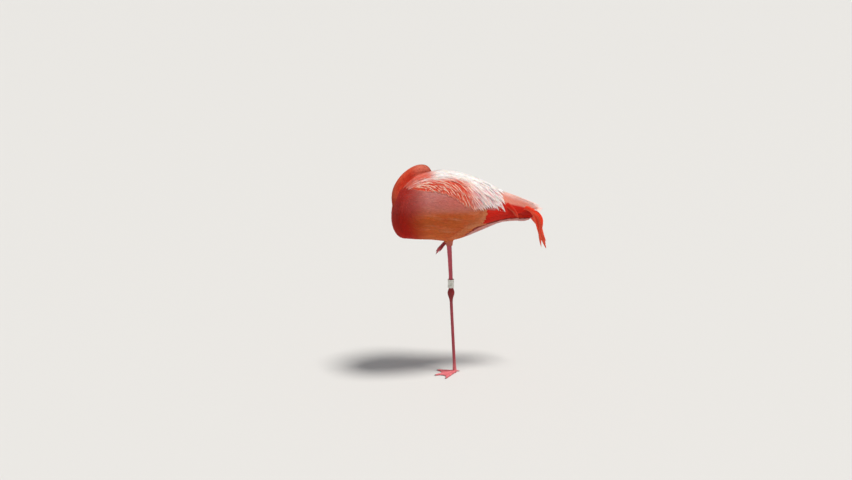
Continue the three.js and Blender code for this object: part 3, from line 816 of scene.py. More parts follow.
def flow(p, n, s, i):
    """Lie of the contour feathers: back along the body and a little down its sides, down over the breast."""
    th = body_angle(p)
    y = p[:, 1]
    d = np.zeros_like(p)
    d[:, 1] = 1
    d[:, 2] = -0.34 * smooth(-15, 25, th) * smooth(85, 60, th) * smooth(-140, -60, y)
    d = mixc(d, np.array([0, 0.4, -1.0]), smooth(-105, -185, y) * smooth(75, 35, th))
    at, dist = neck_near(p)
    w = np.where(at < 66, smooth(22, 3, dist) * smooth(2, 20, at), smooth(3, 0, dist))
    return mixc(d, -neck_t[at], w)


# ---- contour feathers of breast, belly, flanks and back -----------------------------
by, ba = body_rows(5.0, 4.5, 0.55, 5)
cand = on_inset(by, ba, -INSET)
ok, roots = settle(cand, 4.0)
ok &= head_near(roots) > 1.0
roots = roots[ok]
at_, nd_ = neck_near(roots)
roots = roots[~((nd_ < 2.0) & (at_ > 24))]
th0_ = body_angle(roots)
roots = roots[~((roots[:, 1] > 158) & (th0_ > -30)) & ~((roots[:, 1] > 116) & (th0_ > 30))]
at_, nd_ = neck_near(roots)
th_, y_ = body_angle(roots), roots[:, 1]
Lb = 21 + 9 * smooth(-190, -95, y_) + 4 * smooth(30, 90, y_) * smooth(130, 110, y_)
Lb = Lb * (1 - 0.42 * smooth(16, 3, nd_) * smooth(4, 20, at_))
Lb = Lb * rng.uniform(0.86, 1.16, len(roots))
Wb = (0.108 * Lb + 0.9) * rng.uniform(0.9, 1.15, len(roots))
root_c = body_colour(roots)
root_c = mixc(root_c, C_NECK2, smooth(16, 1, nd_) * smooth(2, 22, at_) * (at_ < 80))
root_c = mixc(root_c, C_CORAL, smooth(22, 3, nd_) * (roots[:, 2] > 690) * (roots[:, 0] > -40))
tint = rng.normal(0, 1, (len(roots), 1))
edge_ = smooth(88, 112, y_) * smooth(122, 114, y_) * smooth(14, 4, th_) * smooth(-52, -40, th_)  # rim of the flank


def contour_colour(i, s, a, r):
    c = root_c[i][:, None, None, :] * (1 + 0.045 * tint[i][:, :, None, None])
    up = smooth(10, 55, body_angle(r))[:, None, None] * np.ones_like(s)
    c = c * (0.86 + 0.16 * np.clip(s * 1.4, 0, 1))[..., None]
    pale = mixc(c * 1.35, np.broadcast_to(C_WHITE, c.shape), up * 0.6)
    rear = smooth(-150, -95, r[:, 1])[:, None, None]
    return mixc(c, pale, np.clip((s - 0.66) / 0.34, 0, 1) * (0.10 + 0.15 * rear + 0.2 * up * rear))


def clear_of_head(P, Nn):
    ok = np.ones(P.shape[1], bool)
    for q in P:
        x, y, z = to_head(q)
        ok &= ~((head_near(q) < 1.2) & (x > -26)) & ~((x > 18) & (x < 48) & (head_near(q) < 8) & (np.abs(y) < 20))
    return ok


COAT += vanes("coat_body", roots, flow, Lb * (1 + 0.25 * edge_), Wb, contour_colour, uv_body(roots), SOFT, K=4, inner=1,
              lift=(-1.0, 1.2), camber=0.10, thick=0.28, keep=clear_of_head, calm=0.55, ripple=0.0)


# ---- rim of the flank: rounded feathers that end over the folded wing and the hollow under it ----
ey, ea, ed = [], [], []
for k, th_r in enumerate(np.arange(12, -25, -2.5)):
    for row in range(3):
        ey.append(96 - 7 * row + 2.5 * math.sin(k * 0.9) + rng.normal(0, 1.0)); ea.append(th_r + rng.normal(0, 0.5) + 0.8 * row); ed.append(6 + 0.5 * (10 - th_r))
for k, y_r in enumerate(np.arange(119, 4, -4.0)):
    turn_r = float(np.interp(y_r, [8, 60, 119], [46, 34, 26]))
    drop_r = math.degrees(25 * math.sin(math.radians(turn_r)) / np.interp(y_r, [10, 119], [112, 86]))
    for row in range(4):
        ey.append(y_r - 25 * math.cos(math.radians(turn_r)) + rng.normal(0, 0.8) - 4.5 * row)
        ea.append(float(hollow_line(y_r)) - 1.0 + drop_r + 2.0 * row + rng.normal(0, 0.4)); ed.append(turn_r)
ey, ea, ed = map(np.array, (ey, ea, ed))
E_R = np.vstack([on_inset(ey, ea, -INSET), on_inset(ey, 180 - ea, -INSET)])
E_D = np.r_[ed, ed]
E_C = body_colour(np.c_[E_R[:, 0], np.minimum(E_R[:, 1], 100), np.maximum(E_R[:, 2], 556)])
E_N = len(E_R)


def flow_edge(p, n, s, i):
    back = np.zeros_like(p); back[:, 1] = 1
    back = unit(back - (back * n).sum(1, keepdims=True) * n)
    down = np.cross(n, back)
    down = np.where((down[:, 2] < 0)[:, None], down, -down)
    t = np.radians(E_D[i])[:, None]
    return back * np.cos(t) + down * np.sin(t)


def edge_colour(i, s, a, r):
    c = E_C[i][:, None, None, :] * (0.86 + 0.16 * s)[..., None]
    return mixc(c, np.broadcast_to(lin(238, 146, 100), c.shape), np.clip((s - 0.74) / 0.26, 0, 1) * 0.75)


COAT += vanes("coat_flank_rim", E_R, flow_edge, rng.uniform(24, 28, E_N), rng.uniform(3.6, 4.6, E_N), edge_colour, uv_body(E_R), SPEAR, K=6, inner=1,
              lift=(-0.8, 2.6), camber=0.14, thick=0.4, calm=0.45, ripple=0.04)
hn_ = head_near(roots)
m = hn_ < 26
short_c = root_c[m]


def short_colour(i, s, a, r):
    return short_c[i][:, None, None, :] * (0.88 + 0.14 * s)[..., None]


COAT += vanes("coat_cheek_rest", roots[m], flow, np.clip(hn_[m] * 0.55, 4.5, 9.0), np.clip(hn_[m] * 0.11, 0.9, 1.6), short_colour, uv_body(roots[m]), SOFT, K=3, inner=1,
              lift=(-0.5, 0.8), camber=0.10, thick=0.22, calm=0.55, ripple=0.0)
print("body feathers", len(roots), round(time.time() - T0, 1))


# ---- neck ---------------------------------------------------------------------------
nk_ = along(neck_path, 240)
cand = tube_rows(nk_[:, :3], nk_[:, 3] - 3.2, (0.9, 0.25, 0.35), 2.9, 2.3, 0.5, 6)
ok, roots_n = settle(cand, 2.6)
roots_n = roots_n[ok]
at_n, nd_n = neck_near(roots_n)
m = (at_n > 16) & (head_near(roots_n) > -3.5)
roots_n, at_n = roots_n[m], at_n[m]
Ln = np.interp(at_n, [0, 60, 120, len(neck_c)], [16, 12.5, 10, 8]) * rng.uniform(0.85, 1.18, len(roots_n))
Wn = Ln * 0.115 + 0.25
tint_n = rng.normal(0, 1, (len(roots_n), 1))
# the neck is lighter towards the top: painted light from above, mixed with random tone from the noise
base_n = mixc(np.broadcast_to(C_NECK2, roots_n.shape), np.broadcast_to(C_NECK, roots_n.shape),
              np.clip(smooth(610, 690, roots_n[:, 2]) * 0.95 + 0.25 * noise3(roots_n, 45, 8), 0, 1))


h_, w_ = body_half(np.clip(roots_n[:, 1], -190, 0))
q_n = np.sqrt((roots_n[:, 0] / w_) ** 2 + ((roots_n[:, 2] - body_centre(np.clip(roots_n[:, 1], -190, 0))) / h_) ** 2)
# painted shade: the neck is darker where it runs close to the body
base_n = mixc(base_n, C_NECK2, smooth(1.32, 1.10, q_n) * 0.75)
# painted highlight: a salmon tone on the upper front of the neck
base_n = mixc(base_n, lin(255, 124, 88), smooth(-165, -195, roots_n[:, 1]) * smooth(620, 680, roots_n[:, 2]) * 0.35)
base_n = mixc(base_n, lin(250, 150, 124), smooth(-128, -88, roots_n[:, 1]) * smooth(712, 728, roots_n[:, 2]) * 0.5)  # fades into the back


def neck_colour(i, s, a, r):
    c = base_n[i][:, None, None, :] * (1 + 0.05 * tint_n[i][:, :, None, None]) * (0.86 + 0.16 * s)[..., None]
    return mixc(c, np.broadcast_to(lin(250, 120, 84), c.shape), np.clip((s - 0.7) / 0.3, 0, 1) * 0.28)


def flow_neck(p, n, s, i):
    at, _ = neck_near(p)
    return -neck_t[at]


COAT += vanes("coat_neck", roots_n, flow_neck, Ln, Wn, neck_colour, uv_neck(roots_n), SOFT, K=3, inner=1,
              lift=(-0.5, 1.0), camber=0.14, thick=0.22, mat=DOWN, ripple=0.0, calm=0.5)
print("neck feathers", len(roots_n), round(time.time() - T0, 1))


# ---- head ---------------------------------------------------------------------------
def face_bare(p):
    x, y, z = to_head(p)
    line = 17 + 0.30 * z
    return (x > line) | (np.sqrt((x - 11) ** 2 + (z - 5) ** 2) < 7.4) & (np.abs(y) > 8)


hs, ha = [], []
for i, x in enumerate(np.arange(-34.5, 25, 1.7)):
    r = float(np.sqrt(max(0.03, 1 - max(0, (-20 - x) / 15) ** 2)) * table(SKULL, np.array([x]), 1)[0])
    n = int(2 * math.pi * r / 1.35)
    ha.append(((np.arange(n) + 0.5 * (i % 2)) + (rng.random(n) - 0.5) * 0.5) * 2 * math.pi / n)
    hs.append(x + (rng.random(n) - 0.5) * 0.8)
cand = skull_point(np.concatenate(hs), np.concatenate(ha))
ok, roots_h = settle(cand, 2.4)
ok &= ~face_bare(roots_h)
roots_h = roots_h[ok]
hx_, hy_, hz_ = to_head(roots_h)
near_eye = bump(np.sqrt((hx_ - 11) ** 2 + (hz_ - 5) ** 2), 8, 4)
Lh = np.interp(hx_, [-35, -24, 0, 20], [13.0, 8.4, 5.6, 3.4]) * (1 - 0.35 * near_eye) * rng.uniform(0.85, 1.15, len(roots_h))
tint_h = rng.normal(0, 1, (len(roots_h), 1))
hc_ = mixc(np.broadcast_to(C_NECK2, roots_h.shape), np.broadcast_to(C_NECK, roots_h.shape), np.clip(0.55 + 0.45 * noise3(roots_h, 22, 4), 0, 1))
hc_ = mixc(hc_, lin(240, 128, 104), smooth(2, 20, hx_) * 0.55)


def head_colour(i, s, a, r):
    c = hc_[i][:, None, None, :] * (1 + 0.05 * tint_h[i][:, :, None, None]) * (0.88 + 0.14 * s)[..., None]
    return mixc(c, np.broadcast_to(lin(250, 126, 92), c.shape), np.clip((s - 0.7) / 0.3, 0, 1) * 0.25)


def flow_head(p, n, s, i):
    x, y, z = to_head(p)
    d = np.broadcast_to(-HEAD_FWD, p.shape).copy()
    # feathers part round the eye
    e = (in_head(11, 0, 5) - p)
    near = bump(np.sqrt((x - 11) ** 2 + (z - 5) ** 2), 9, 5)[:, None]
    return d - 0.35 * unit(e) * near + 0.15 * -HEAD_TOP


COAT += vanes("coat_head", roots_h, flow_head, Lh, Lh * 0.15 + 0.12, head_colour, uv_head(roots_h), SOFT, K=3, inner=1,
              lift=(-0.3, 0.55), camber=0.14, thick=0.2, mat=DOWN, ripple=0.0, calm=0.5)
print("head feathers", len(roots_h), round(time.time() - T0, 1))


# ---- thighs --------------------------------------------------------------------------
def thigh_coat(name, path, radii, up, tone, stop):
    c = along(np.c_[spline(path, 12)], 60)
    rr = np.interp(np.linspace(0, 1, 60), np.linspace(0, 1, len(radii)), radii)
    cand = tube_rows(c, rr, up, 4.0, 3.2, 0.5, 14)
    ok, r = settle(cand, 3.2)
    r = r[ok]
    k = np.linalg.norm(r[:, None, :] - c[None], axis=2).argmin(1)
    t = unit(np.gradient(c, axis=0))
    far = k / 59
    L = np.interp(far, [0, 0.6, 1], [24, 17, 9]) * rng.uniform(0.85, 1.15, len(r))
    col = mixc(np.broadcast_to(tone, r.shape), body_colour(r), smooth(0.5, 0.0, far))

    def fl(p, n, s, i):
        kk = np.linalg.norm(p[:, None, :] - c[None], axis=2).argmin(1)
        return t[kk]

    def co(i, s, a, r_):
        return col[i][:, None, None, :] * (0.88 + 0.16 * s)[..., None]

    return vanes(name, r, fl, L, L * 0.12 + 0.5, co, uv_body(r), SOFT, K=3, inner=1, lift=(-0.6, 1.2), camber=0.15, thick=0.25, calm=0.5, ripple=0.0)


COAT += thigh_coat("coat_thigh_left", THIGH_L, [26, 21, 14, 8.8], (0, -1, 0), lin(222, 112, 92), 0)
COAT += thigh_coat("coat_thigh_right", THIGH_R, [23, 18, 12.2, 7.8], (0, 0, 1), lin(196, 60, 48), 0)

# =====================================================================================
# Bill
# =====================================================================================
GAPE = np.array([[24, -3], [42, -3], [60, -6], [75, -15], [84, -31], [85, -50], [81, -64]], float)
gape = along(spline(np.array([in_head(x, 0, z) for x, z in GAPE]), 12), 60)
BILL = np.array([[0, 11, 14.5, 10], [0.25, 10.2, 11, 12.5], [0.5, 9.6, 8, 16], [0.72, 8, 6.5, 13.5], [0.9, 5.2, 4.6, 8], [1, 3, 2.4, 2.6]])


def mandible(name, column, sign, inset):
    n, half = len(gape), 15
    d = unit(np.gradient(gape, axis=0))
    top = unit(np.cross(d, HEAD_SIDE))
    t = np.linspace(0, 1, n)
    w, h = table(BILL, t, 1) - inset, table(BILL, t, column) - inset
    a = np.linspace(0, np.pi, half)
    rings = []
    for k in range(n):
        ca, sa = np.cos(a), np.sin(a)
        if sign > 0:  # culmen: a soft ridge, flatter near the tip, with a groove beside it
            prof = sa ** 0.9
            groove = 1 - 0.07 * bump(np.abs(ca), 0.55, 0.12) * smooth(0.02, 0.2, t[k]) * smooth(0.95, 0.7, t[k])
            side = ca * groove
            hh = h[k] * prof * (1 + 0.03 * bump(np.abs(ca), 0, 0.2))
        else:  # deep trough-shaped lower bill, swollen halfway
            side = ca * (1 + 0.06 * np.sin(a) ** 2)
            hh = h[k] * sa ** 0.8
        rings.append(gape[k] + HEAD_SIDE * (side * w[k])[:, None] + top[k] * (sign * (hh + 0.25))[:, None])
        # flat closing face with a low comb along the edge
        b = np.linspace(-0.92, 0.92, 9)
        comb = 0.5 * (k % 2) * (np.abs(b) > 0.6)
        rings.append(gape[k] + HEAD_SIDE * (b * w[k])[:, None] + top[k] * (sign * (0.25 - comb * 0.4))[:, None])
    V = np.vstack([np.vstack([rings[2 * k], rings[2 * k + 1]]) for k in range(n)])
    cols = half + 9
    F = [tuple(f) for f in grid_faces(n, cols)]
    for k, flip in ((0, False), (n - 1, True)):
        c = len(V)
        V = np.vstack([V, V[k * cols:(k + 1) * cols].mean(0) + (d[k] * (0.8 if k else 0))])
        for j in range(cols):
            tri = (c, k * cols + (j + 1) % cols, k * cols + j)
            F.append(tri[::-1] if (flip) else tri)
    o = mesh_object(name, V, F)
    # colour: pale at the base, rose-orange in the middle, black tip past the bend
    vv = coords(o)
    dd = np.linalg.norm(vv[:, None, :] - gape[None, ::3, :], axis=2)
    tt = t[::3][dd.argmin(1)]
    c = mixc(np.broadcast_to(lin(246, 214, 200), vv.shape), np.broadcast_to(lin(240, 150, 118), vv.shape), smooth(0.05, 0.5, tt))
    line = 0.60 + 0.03 * noise3(vv, 9, 5) + (0.05 if sign < 0 else -0.02)
    c = mixc(c, np.broadcast_to(lin(30, 24, 26), vv.shape), smooth(line - 0.025, line + 0.025, tt))
    paint(o, "Col", c)
    return o


def horn_material():
    m, nt, b = material("bill_horn", 0.32)
    b.inputs["Specular IOR Level"].default_value = 0.5
    col = nt.nodes.new("ShaderNodeAttribute"); col.attribute_name = "Col"
    tc = nt.nodes.new("ShaderNodeTexCoord")
    nz = node(nt, "ShaderNodeTexNoise", Scale=90.0, Detail=5.0)
    nt.links.new(tc.outputs["Object"], nz.inputs["Vector"])
    c = mult(nt, col.outputs["Color"], ramp(nt, nz.outputs["Fac"], [(0.3, (0.86, 0.84, 0.84)), (0.7, (1.06, 1.05, 1.05))]))
    nt.links.new(c, b.inputs["Base Color"])
    nt.links.new(ramp(nt, nz.outputs["Fac"], [(0.3, (0.26,) * 3), (0.7, (0.44,) * 3)]), b.inputs["Roughness"])
    bp = node(nt, "ShaderNodeBump", Strength=0.25, Distance=0.0005)
    nt.links.new(nz.outputs["Fac"], bp.inputs["Height"]); nt.links.new(bp.outputs[0], b.inputs["Normal"])
    return m


HORN = horn_material()
bill_up = mandible("bill_top", 2, 1, 0.0)
bill_lo = mandible("bill_bottom", 3, -1, 0.0)
for o in (bill_up, bill_lo):
    o.data.materials.append(HORN)
# nostrils: long slits let into the upper bill, painted dark as the shade inside the openings
slits = []
for sgn in (1, -1):
    xs = np.linspace(36, 50, 9)
    c = np.array([in_head(x, sgn * 8.9, 3.2 + 0.02 * (x - 36)) for x in xs])
    slits.append(tube(c, 0.55 * np.sin(np.linspace(0.25, 2.9, 9)) + 0.15, 1.1 * np.sin(np.linspace(0.25, 2.9, 9)) + 0.15, HEAD_TOP, 8))
slit = mesh_object("nostrils", *merge(slits))
m_, nt_, b_ = material("nostril_painted_shade", 0.8)
tc_ = nt_.nodes.new("ShaderNodeTexCoord")
nz_ = node(nt_, "ShaderNodeTexNoise", Scale=300.0)
nt_.links.new(tc_.outputs["Object"], nz_.inputs["Vector"])
nt_.links.new(ramp(nt_, nz_.outputs["Fac"], [(0.3, (0.05, 0.02, 0.02)), (0.7, (0.10, 0.04, 0.035))]), b_.inputs["Base Color"])
slit.data.materials.append(m_)

# =====================================================================================
# Eyes with lids
# =====================================================================================
def eye_material():
    m, nt, b = material("eye", 0.06)
    b.inputs["Coat Weight"].default_value = 1.0
    b.inputs["Coat Roughness"].default_value = 0.02
    col = nt.nodes.new("ShaderNodeAttribute"); col.attribute_name = "Col"
    tc = nt.nodes.new("ShaderNodeTexCoord")
    nz = node(nt, "ShaderNodeTexNoise", Scale=900.0, Detail=3.0)
    nt.links.new(tc.outputs["Object"], nz.inputs["Vector"])
    nt.links.new(mult(nt, col.outputs["Color"], ramp(nt, nz.outputs["Fac"], [(0.3, (0.8,) * 3), (0.7, (1.12,) * 3)])), b.inputs["Base Color"])
    return m


EYE = eye_material()
eyes = []
lids = []
for sgn, side_name in ((1, "left"), (-1, "right")):
    c = in_head(11, sgn * 12.6, 5)
    out = unit(HEAD_SIDE * sgn + 0.10 * HEAD_FWD + 0.08 * HEAD_TOP)
    u1 = unit(np.cross(out, HEAD_TOP)); u2 = unit(np.cross(u1, out))
    rows, cols = 30, 40
    ph = np.linspace(0, np.pi, rows)[1:-1]
    az = np.linspace(0, 2 * np.pi, cols, endpoint=False)
    V, C = [], []
    for p_ in ph:
        r = EYE_R - 0.25
        r = r + 0.35 * bump(p_, 0, 0.5)  # cornea
        for a_ in az:
            V.append(c + out * r * math.cos(p_) + (u1 * math.cos(a_) + u2 * math.sin(a_)) * r * math.sin(p_))
        k = p_
        col = lin(12, 9, 9) if k < 0.36 else (lin(236, 214, 120) if k < 0.84 else lin(60, 30, 26))
        if 0.36 <= k < 0.46: col = lin(196, 150, 60)
        C += [col] * cols
    V = np.vstack([V, c + out * (EYE_R + 0.1), c - out * (EYE_R - 0.25)])
    C = np.vstack([C, lin(12, 9, 9), lin(60, 30, 26)])
    F = [tuple(f) for f in grid_faces(rows - 2, cols)]
    k = (rows - 2) * cols
    F += [(k, j, (j + 1) % cols) for j in range(cols)]
    F += [(k + 1, (rows - 3) * cols + (j + 1) % cols, (rows - 3) * cols + j) for j in range(cols)]
    o = mesh_object("eyeball_" + side_name, V, F)
    paint(o, "Col", C)
    o.data.materials.append(EYE)
    eyes.append(o)
    # lids: a soft almond rim that hugs the ball, thicker above
    k = 44
    a = np.linspace(0, 2 * np.pi, k, endpoint=False)
    rim = []
    for a_ in a:
        ex, ez = 5.35 * math.cos(a_), 4.55 * math.sin(a_) * (0.92 if math.sin(a_) > 0 else 1)
        flat = ex * ex + ez * ez
        depth = math.sqrt(max(0.5, (EYE_R + 0.15) ** 2 - flat))
        rim.append(c + u1 * ex + u2 * ez + out * depth)
    rim = np.array(rim)
    tan = unit(np.roll(rim, -1, 0) - np.roll(rim, 1, 0))
    away = unit(rim - c)
    sd = unit(np.cross(tan, away))
    q = np.linspace(0, 2 * np.pi, 10, endpoint=False)
    thick = 0.75 + 0.45 * np.clip(np.sin(a), 0, 1)
    V = (rim[:, None, :] + (away[:, None, :] * np.cos(q)[None, :, None] * 0.8 + sd[:, None, :] * np.sin(q)[None, :, None] * 1.25) * thick[:, None, None]).reshape(-1, 3)
    r_ = np.arange(k)[:, None]; c_ = np.arange(10)[None, :]
    F = np.stack([r_ * 10 + c_, r_ * 10 + (c_ + 1) % 10, ((r_ + 1) % k) * 10 + (c_ + 1) % 10, ((r_ + 1) % k) * 10 + c_], -1).reshape(-1, 4)
    lids.append((V, [tuple(f) for f in F]))
lid = mesh_object("eye_lids", *merge(lids))
vv = coords(lid)
paint(lid, "Col", np.broadcast_to(lin(226, 140, 128), vv.shape) * (1 + 0.12 * noise3(vv, 3, 2))[:, None])
lid.data.materials.append(SKIN)

# =====================================================================================
# Legs and feet
# =====================================================================================
C_LEG = lin(193, 74, 89)
C_JOINT = lin(142, 21, 26)
# the tarsus colour is darker than the shank: partly the leg's own tone, partly painted shade
C_TARSUS_SHADED = lin(168, 58, 70)
C_FOOT = lin(214, 110, 116)


def leg_tube(path, length, flip=False, sides=32, step=1.15, up=(0, -1, 0), shank=False):
    """A bare leg bone with its ankle, cut into overlapping scutes in front and behind, a net of scales at the sides."""
    n = max(20, int(length / step))
    c = along(spline(path, 20), n)
    s = np.linspace(0, length, n)
    a = np.linspace(0, 2 * np.pi, sides, endpoint=False)
    front = np.clip(np.cos(a - np.pi / 2), 0, 1) ** 2 + np.clip(np.cos(a + np.pi / 2), 0, 1) ** 2 * 0.6
    if shank:
        r = 6.75 + 3.0 * (1 - s / length) ** 2
        rw = rh = r
    else:
        r = 5.4 + (12.4 - 5.4) * bump(s, 19, 17) + 1.5 * bump(s, length, 20)
        rh = r
        rw = r * 0.84
        # tendons and condyles: two soft knobs at the ankle
        rw = rw * (1 + 0.05 * bump(s, 12, 6) + 0.05 * bump(s, 27, 7))
    pitch = 4.6 + 0.8 * np.sin(s * 0.11)
    ph = (s / 4.8) % 1.0
    scute = (ph ** 2.2) * 0.34 - 0.12
    net = 0.10 * np.sin(s * 2.1)[:, None] * np.sin(a * 7)[None, :]
    disp = scute[:, None] * front[None, :] + net * (1 - front[None, :])
    rw = np.asarray(rw)[:, None] + disp
    rh = np.asarray(rh)[:, None] + disp
    return tube(c, rw, rh, up, sides), c, s


sh, c1, s1 = leg_tube([[17, -7, 520], [9, -1, 455], [3, 3.5, 385], [0.4, 6.2, 318.5]], 205, shank=True)
ta, c2, s2 = leg_tube([[0.4, 6.4, 319], [0, 6, 292], [-2.2, 12.6, 150], [FOOT_AT[0], FOOT_AT[1] + 0.5, 8]], 311)
direction = unit(LIFTED_ANKLE - LIFTED_TOES)
L_ = LIFTED_ANKLE + direction * 14
lt, c3, s3 = leg_tube([L_, LIFTED_ANKLE * 0.65 + LIFTED_TOES * 0.35, LIFTED_ANKLE * 0.3 + LIFTED_TOES * 0.7, LIFTED_TOES], 268, up=(0, 0, 1))
ls, c4, s4 = leg_tube([[-49, 186, 584], [-46, 215, 579], [-42, 246, 574]], 62, up=(0, 0, 1), shank=True)


def foot_shape(side, spread, droop, heading, flatten):
    """Three webbed toes and a small hind toe; toes along -Y, up +Z, pads under the joints."""
    parts, claws = [], []
    ends = []
    lengths = {"inner": 66, "middle": 79, "outer": 73}
    degs = {"inner": -side * spread, "middle": side * 2, "outer": side * (spread + 2)}
    curves = {}
    for key in ("inner", "middle", "outer"):
        a = math.radians(degs[key]); ln = lengths[key]
        pts = []
        for i in range(9):
            s = i / 8 * ln
            fall = droop * (s / 79) ** 1.35
            reach = math.sin(fall) / fall * s if droop and fall > 1e-5 else s
            drop = (1 - math.cos(fall)) / fall * s if droop and fall > 1e-5 else 0
            pts.append([math.sin(a) * reach, -math.cos(a) * reach, 4.4 - 1.6 * (s / 79) - drop])
        c = along(spline(pts, 10), 44)
        t = np.linspace(0, 1, 44)
        r = (4.9 - 2.35 * t) + 0.6 * bump((t * 3.2) % 1, 0.5, 0.24)
        r = np.where(t > 0.90, r * (1 - (t - 0.90) * 3.5), r)
        scute = ((t * ln / 3.4) % 1) ** 2 * 0.22
        parts.append(tube(c[:41], (r + scute)[:41], (r * 0.96 + scute)[:41], (0, 0, 1), 18))
        # blunt claw
        d = unit(c[-1] - c[-4])
        cl = np.array([c[39] + d * k * 1.5 + np.array([0, 0, 0.35 + 0.25 * math.sin(k * 0.6)]) - np.array([0, 0, 0.10 * k * k * 0.25]) for k in range(6)])
        claws.append(tube(cl, np.array([2.0, 2.2, 2.0, 1.6, 1.1, 0.5]), np.array([1.2, 1.35, 1.25, 1.0, 0.7, 0.35]), (0, 0, 1), 12))
        curves[key] = c
    for ka, kb in (("inner", "middle"), ("middle", "outer")):
        A, B = curves[ka], curves[kb]
        nu, nv = 26, 18
        top, bot = [], []
        for i in range(nu):
            for j in range(nv):
                v = j / (nv - 1)
                u = (i / (nu - 1)) * (0.83 - 0.62 * v * (1 - v)) + 0.02
                f = lambda cc: cc[0] + (cc[-1] - cc[0]) * u if False else np.array([np.interp(u, np.linspace(0, 1, 44), cc[:, k]) for k in range(3)])
                q = f(A) * (1 - v) + f(B) * v
                fold = 0.45 * math.sin(v * math.pi * 5 + i * 0.12) * math.sin(v * math.pi) * (0.4 + 0.6 * i / nu)
                top.append(q + [0, 0, 0.9 + fold - 0.5 * math.sin(v * math.pi)])
                bot.append(q + [0, 0, -1.3 + fold * 0.5 - 0.5 * math.sin(v * math.pi)])
        top, bot = np.array(top), np.array(bot)
        V = np.vstack([top, bot])
        G = grid_faces(nu, nv, wrap=False)
        F = [tuple(g) for g in G] + [tuple(g[::-1] + nu * nv) for g in G]
        edge = [i * nv for i in range(nu)] + [(nu - 1) * nv + j for j in range(1, nv)] + [i * nv + nv - 1 for i in range(nu - 2, -1, -1)] + [j for j in range(nv - 2, 0, -1)]
        for e0, e1 in zip(edge, edge[1:] + edge[:1]):
            F.append((e0, e1, e1 + nu * nv, e0 + nu * nv))
        parts.append((V, F))
    s_ = np.linspace(0, np.pi, 14)[1:-1]
    a_ = np.linspace(0, 2 * np.pi, 20, endpoint=False)
    ball = np.array([[7.2 * math.sin(p) * math.cos(q), 8.2 * math.sin(p) * math.sin(q), 5.2 + 7.0 * math.cos(p)] for p in s_ for q in a_])
    F = [tuple(f) for f in grid_faces(12, 20)]
    k = len(ball)
    ball = np.vstack([ball, [0, 0, 12.2], [0, 0, -1.8]])
    F += [(k, j, (j + 1) % 20) for j in range(20)] + [(k + 1, 220 + (j + 1) % 20, 220 + j) for j in range(20)]
    parts.append((ball, F))
    hind = along(spline([[0, 2, 7], [-side * 3, 11, 4.6], [-side * 4, 19, 1.6]], 10), 16)
    t = np.linspace(0, 1, 16)
    parts.append(tube(hind, 2.9 - 1.5 * t, 2.9 - 1.5 * t, (0, 0, 1), 12))
    claws.append(tube(along(spline([[-side * 3.9, 18, 2.2], [-side * 4.1, 20.5, 1.9], [-side * 4.2, 22, 1.2]], 6), 5), [1.2, 1.3, 1.0, 0.7, 0.3], [1.1, 1.2, 0.9, 0.6, 0.3], (0, 0, 1), 10))
    return merge(parts), merge(claws)


def place(v, m, t):
    return v @ np.asarray(m).T + np.asarray(t, float)


hd_ = math.radians(12)
ROT = np.array([[math.cos(hd_), -math.sin(hd_), 0], [math.sin(hd_), math.cos(hd_), 0], [0, 0, 1]])
(fv, ff), (cv, cf) = foot_shape(1, 38, 0, 0, True)
foot_l = mesh_object("foot_l", place(fv, ROT, FOOT_AT), ff)
remesh(foot_l, 0.85, 3, 0.5)
v = coords(foot_l)
v[:, 2] = np.where(v[:, 2] < 0.9, np.maximum(v[:, 2] * 0.5, 0.05), v[:, 2])
set_coords(foot_l, v)
claws_l = (np.maximum(place(cv, ROT, FOOT_AT), [-1e9, -1e9, 0.1]), cf)

X = unit([0.96, 0.1, 0.1]); Y = unit([-0.12, 0.8, 0.58]); Z = unit([0, -0.58, 0.8])
HANG = np.stack([X, Y, Z], 1)
(fv, ff), (cv, cf) = foot_shape(-1, 12, 0.3, 0, False)
SHIFT = (LIFTED_TOES[0], LIFTED_TOES[1] - 1, LIFTED_TOES[2] - 6)
foot_r = mesh_object("foot_r", place(fv, HANG, SHIFT), ff)
remesh(foot_r, 0.85, 3, 0.5)
claws_r = (place(cv, HANG, SHIFT), cf)

claws = mesh_object("claws", *merge([claws_l, claws_r]))
m_, nt_, b_ = material("claw_horn", 0.4)
tc_ = nt_.nodes.new("ShaderNodeTexCoord")
nz_ = node(nt_, "ShaderNodeTexNoise", Scale=260.0, Detail=4.0)
nt_.links.new(tc_.outputs["Object"], nz_.inputs["Vector"])
nt_.links.new(ramp(nt_, nz_.outputs["Fac"], [(0.3, (0.045, 0.03, 0.03)), (0.7, (0.14, 0.085, 0.075))]), b_.inputs["Base Color"])
claws.data.materials.append(m_)


def add_part(v, f, colours, name):
    o = mesh_object(name, v, f)
    paint(o, "Col", colours)
    o.data.materials.append(LEG)
    return o


def leg_colours(v, kind):
    nz = noise3(v, 26, 12) * 0.10 + noise3(v, 6, 13) * 0.06
    if kind == "shank":
        c = np.broadcast_to(C_LEG, v.shape)
        c = mixc(c, np.broadcast_to(C_JOINT, v.shape), smooth(345, 322, v[:, 2]) * 0.55)
    elif kind == "tarsus":
        # the tarsus is darker than the shank partly as painted shade; the ankle above keeps its own dark joint colour
        c = mixc(np.broadcast_to(C_TARSUS_SHADED, v.shape), np.broadcast_to(C_JOINT, v.shape), smooth(262, 280, v[:, 2]))
        c = mixc(c, np.broadcast_to(C_FOOT, v.shape), smooth(70, 10, v[:, 2]))
    elif kind == "lifted":
        c = mixc(np.broadcast_to(C_LEG, v.shape), np.broadcast_to(C_JOINT, v.shape), smooth(225, 243, v[:, 1]) * 0.9)
    elif kind == "foot":
        c = np.broadcast_to(C_FOOT, v.shape)
    elif kind == "foot_r":
        # painted shade: the raised foot is darker where it lies against the belly
        c = mixc(np.broadcast_to(C_TARSUS_SHADED * 0.9, v.shape), np.broadcast_to(C_FOOT, v.shape), smooth(470, 445, v[:, 2]))
    return np.clip(c * (1 + nz)[:, None], 0, 1)


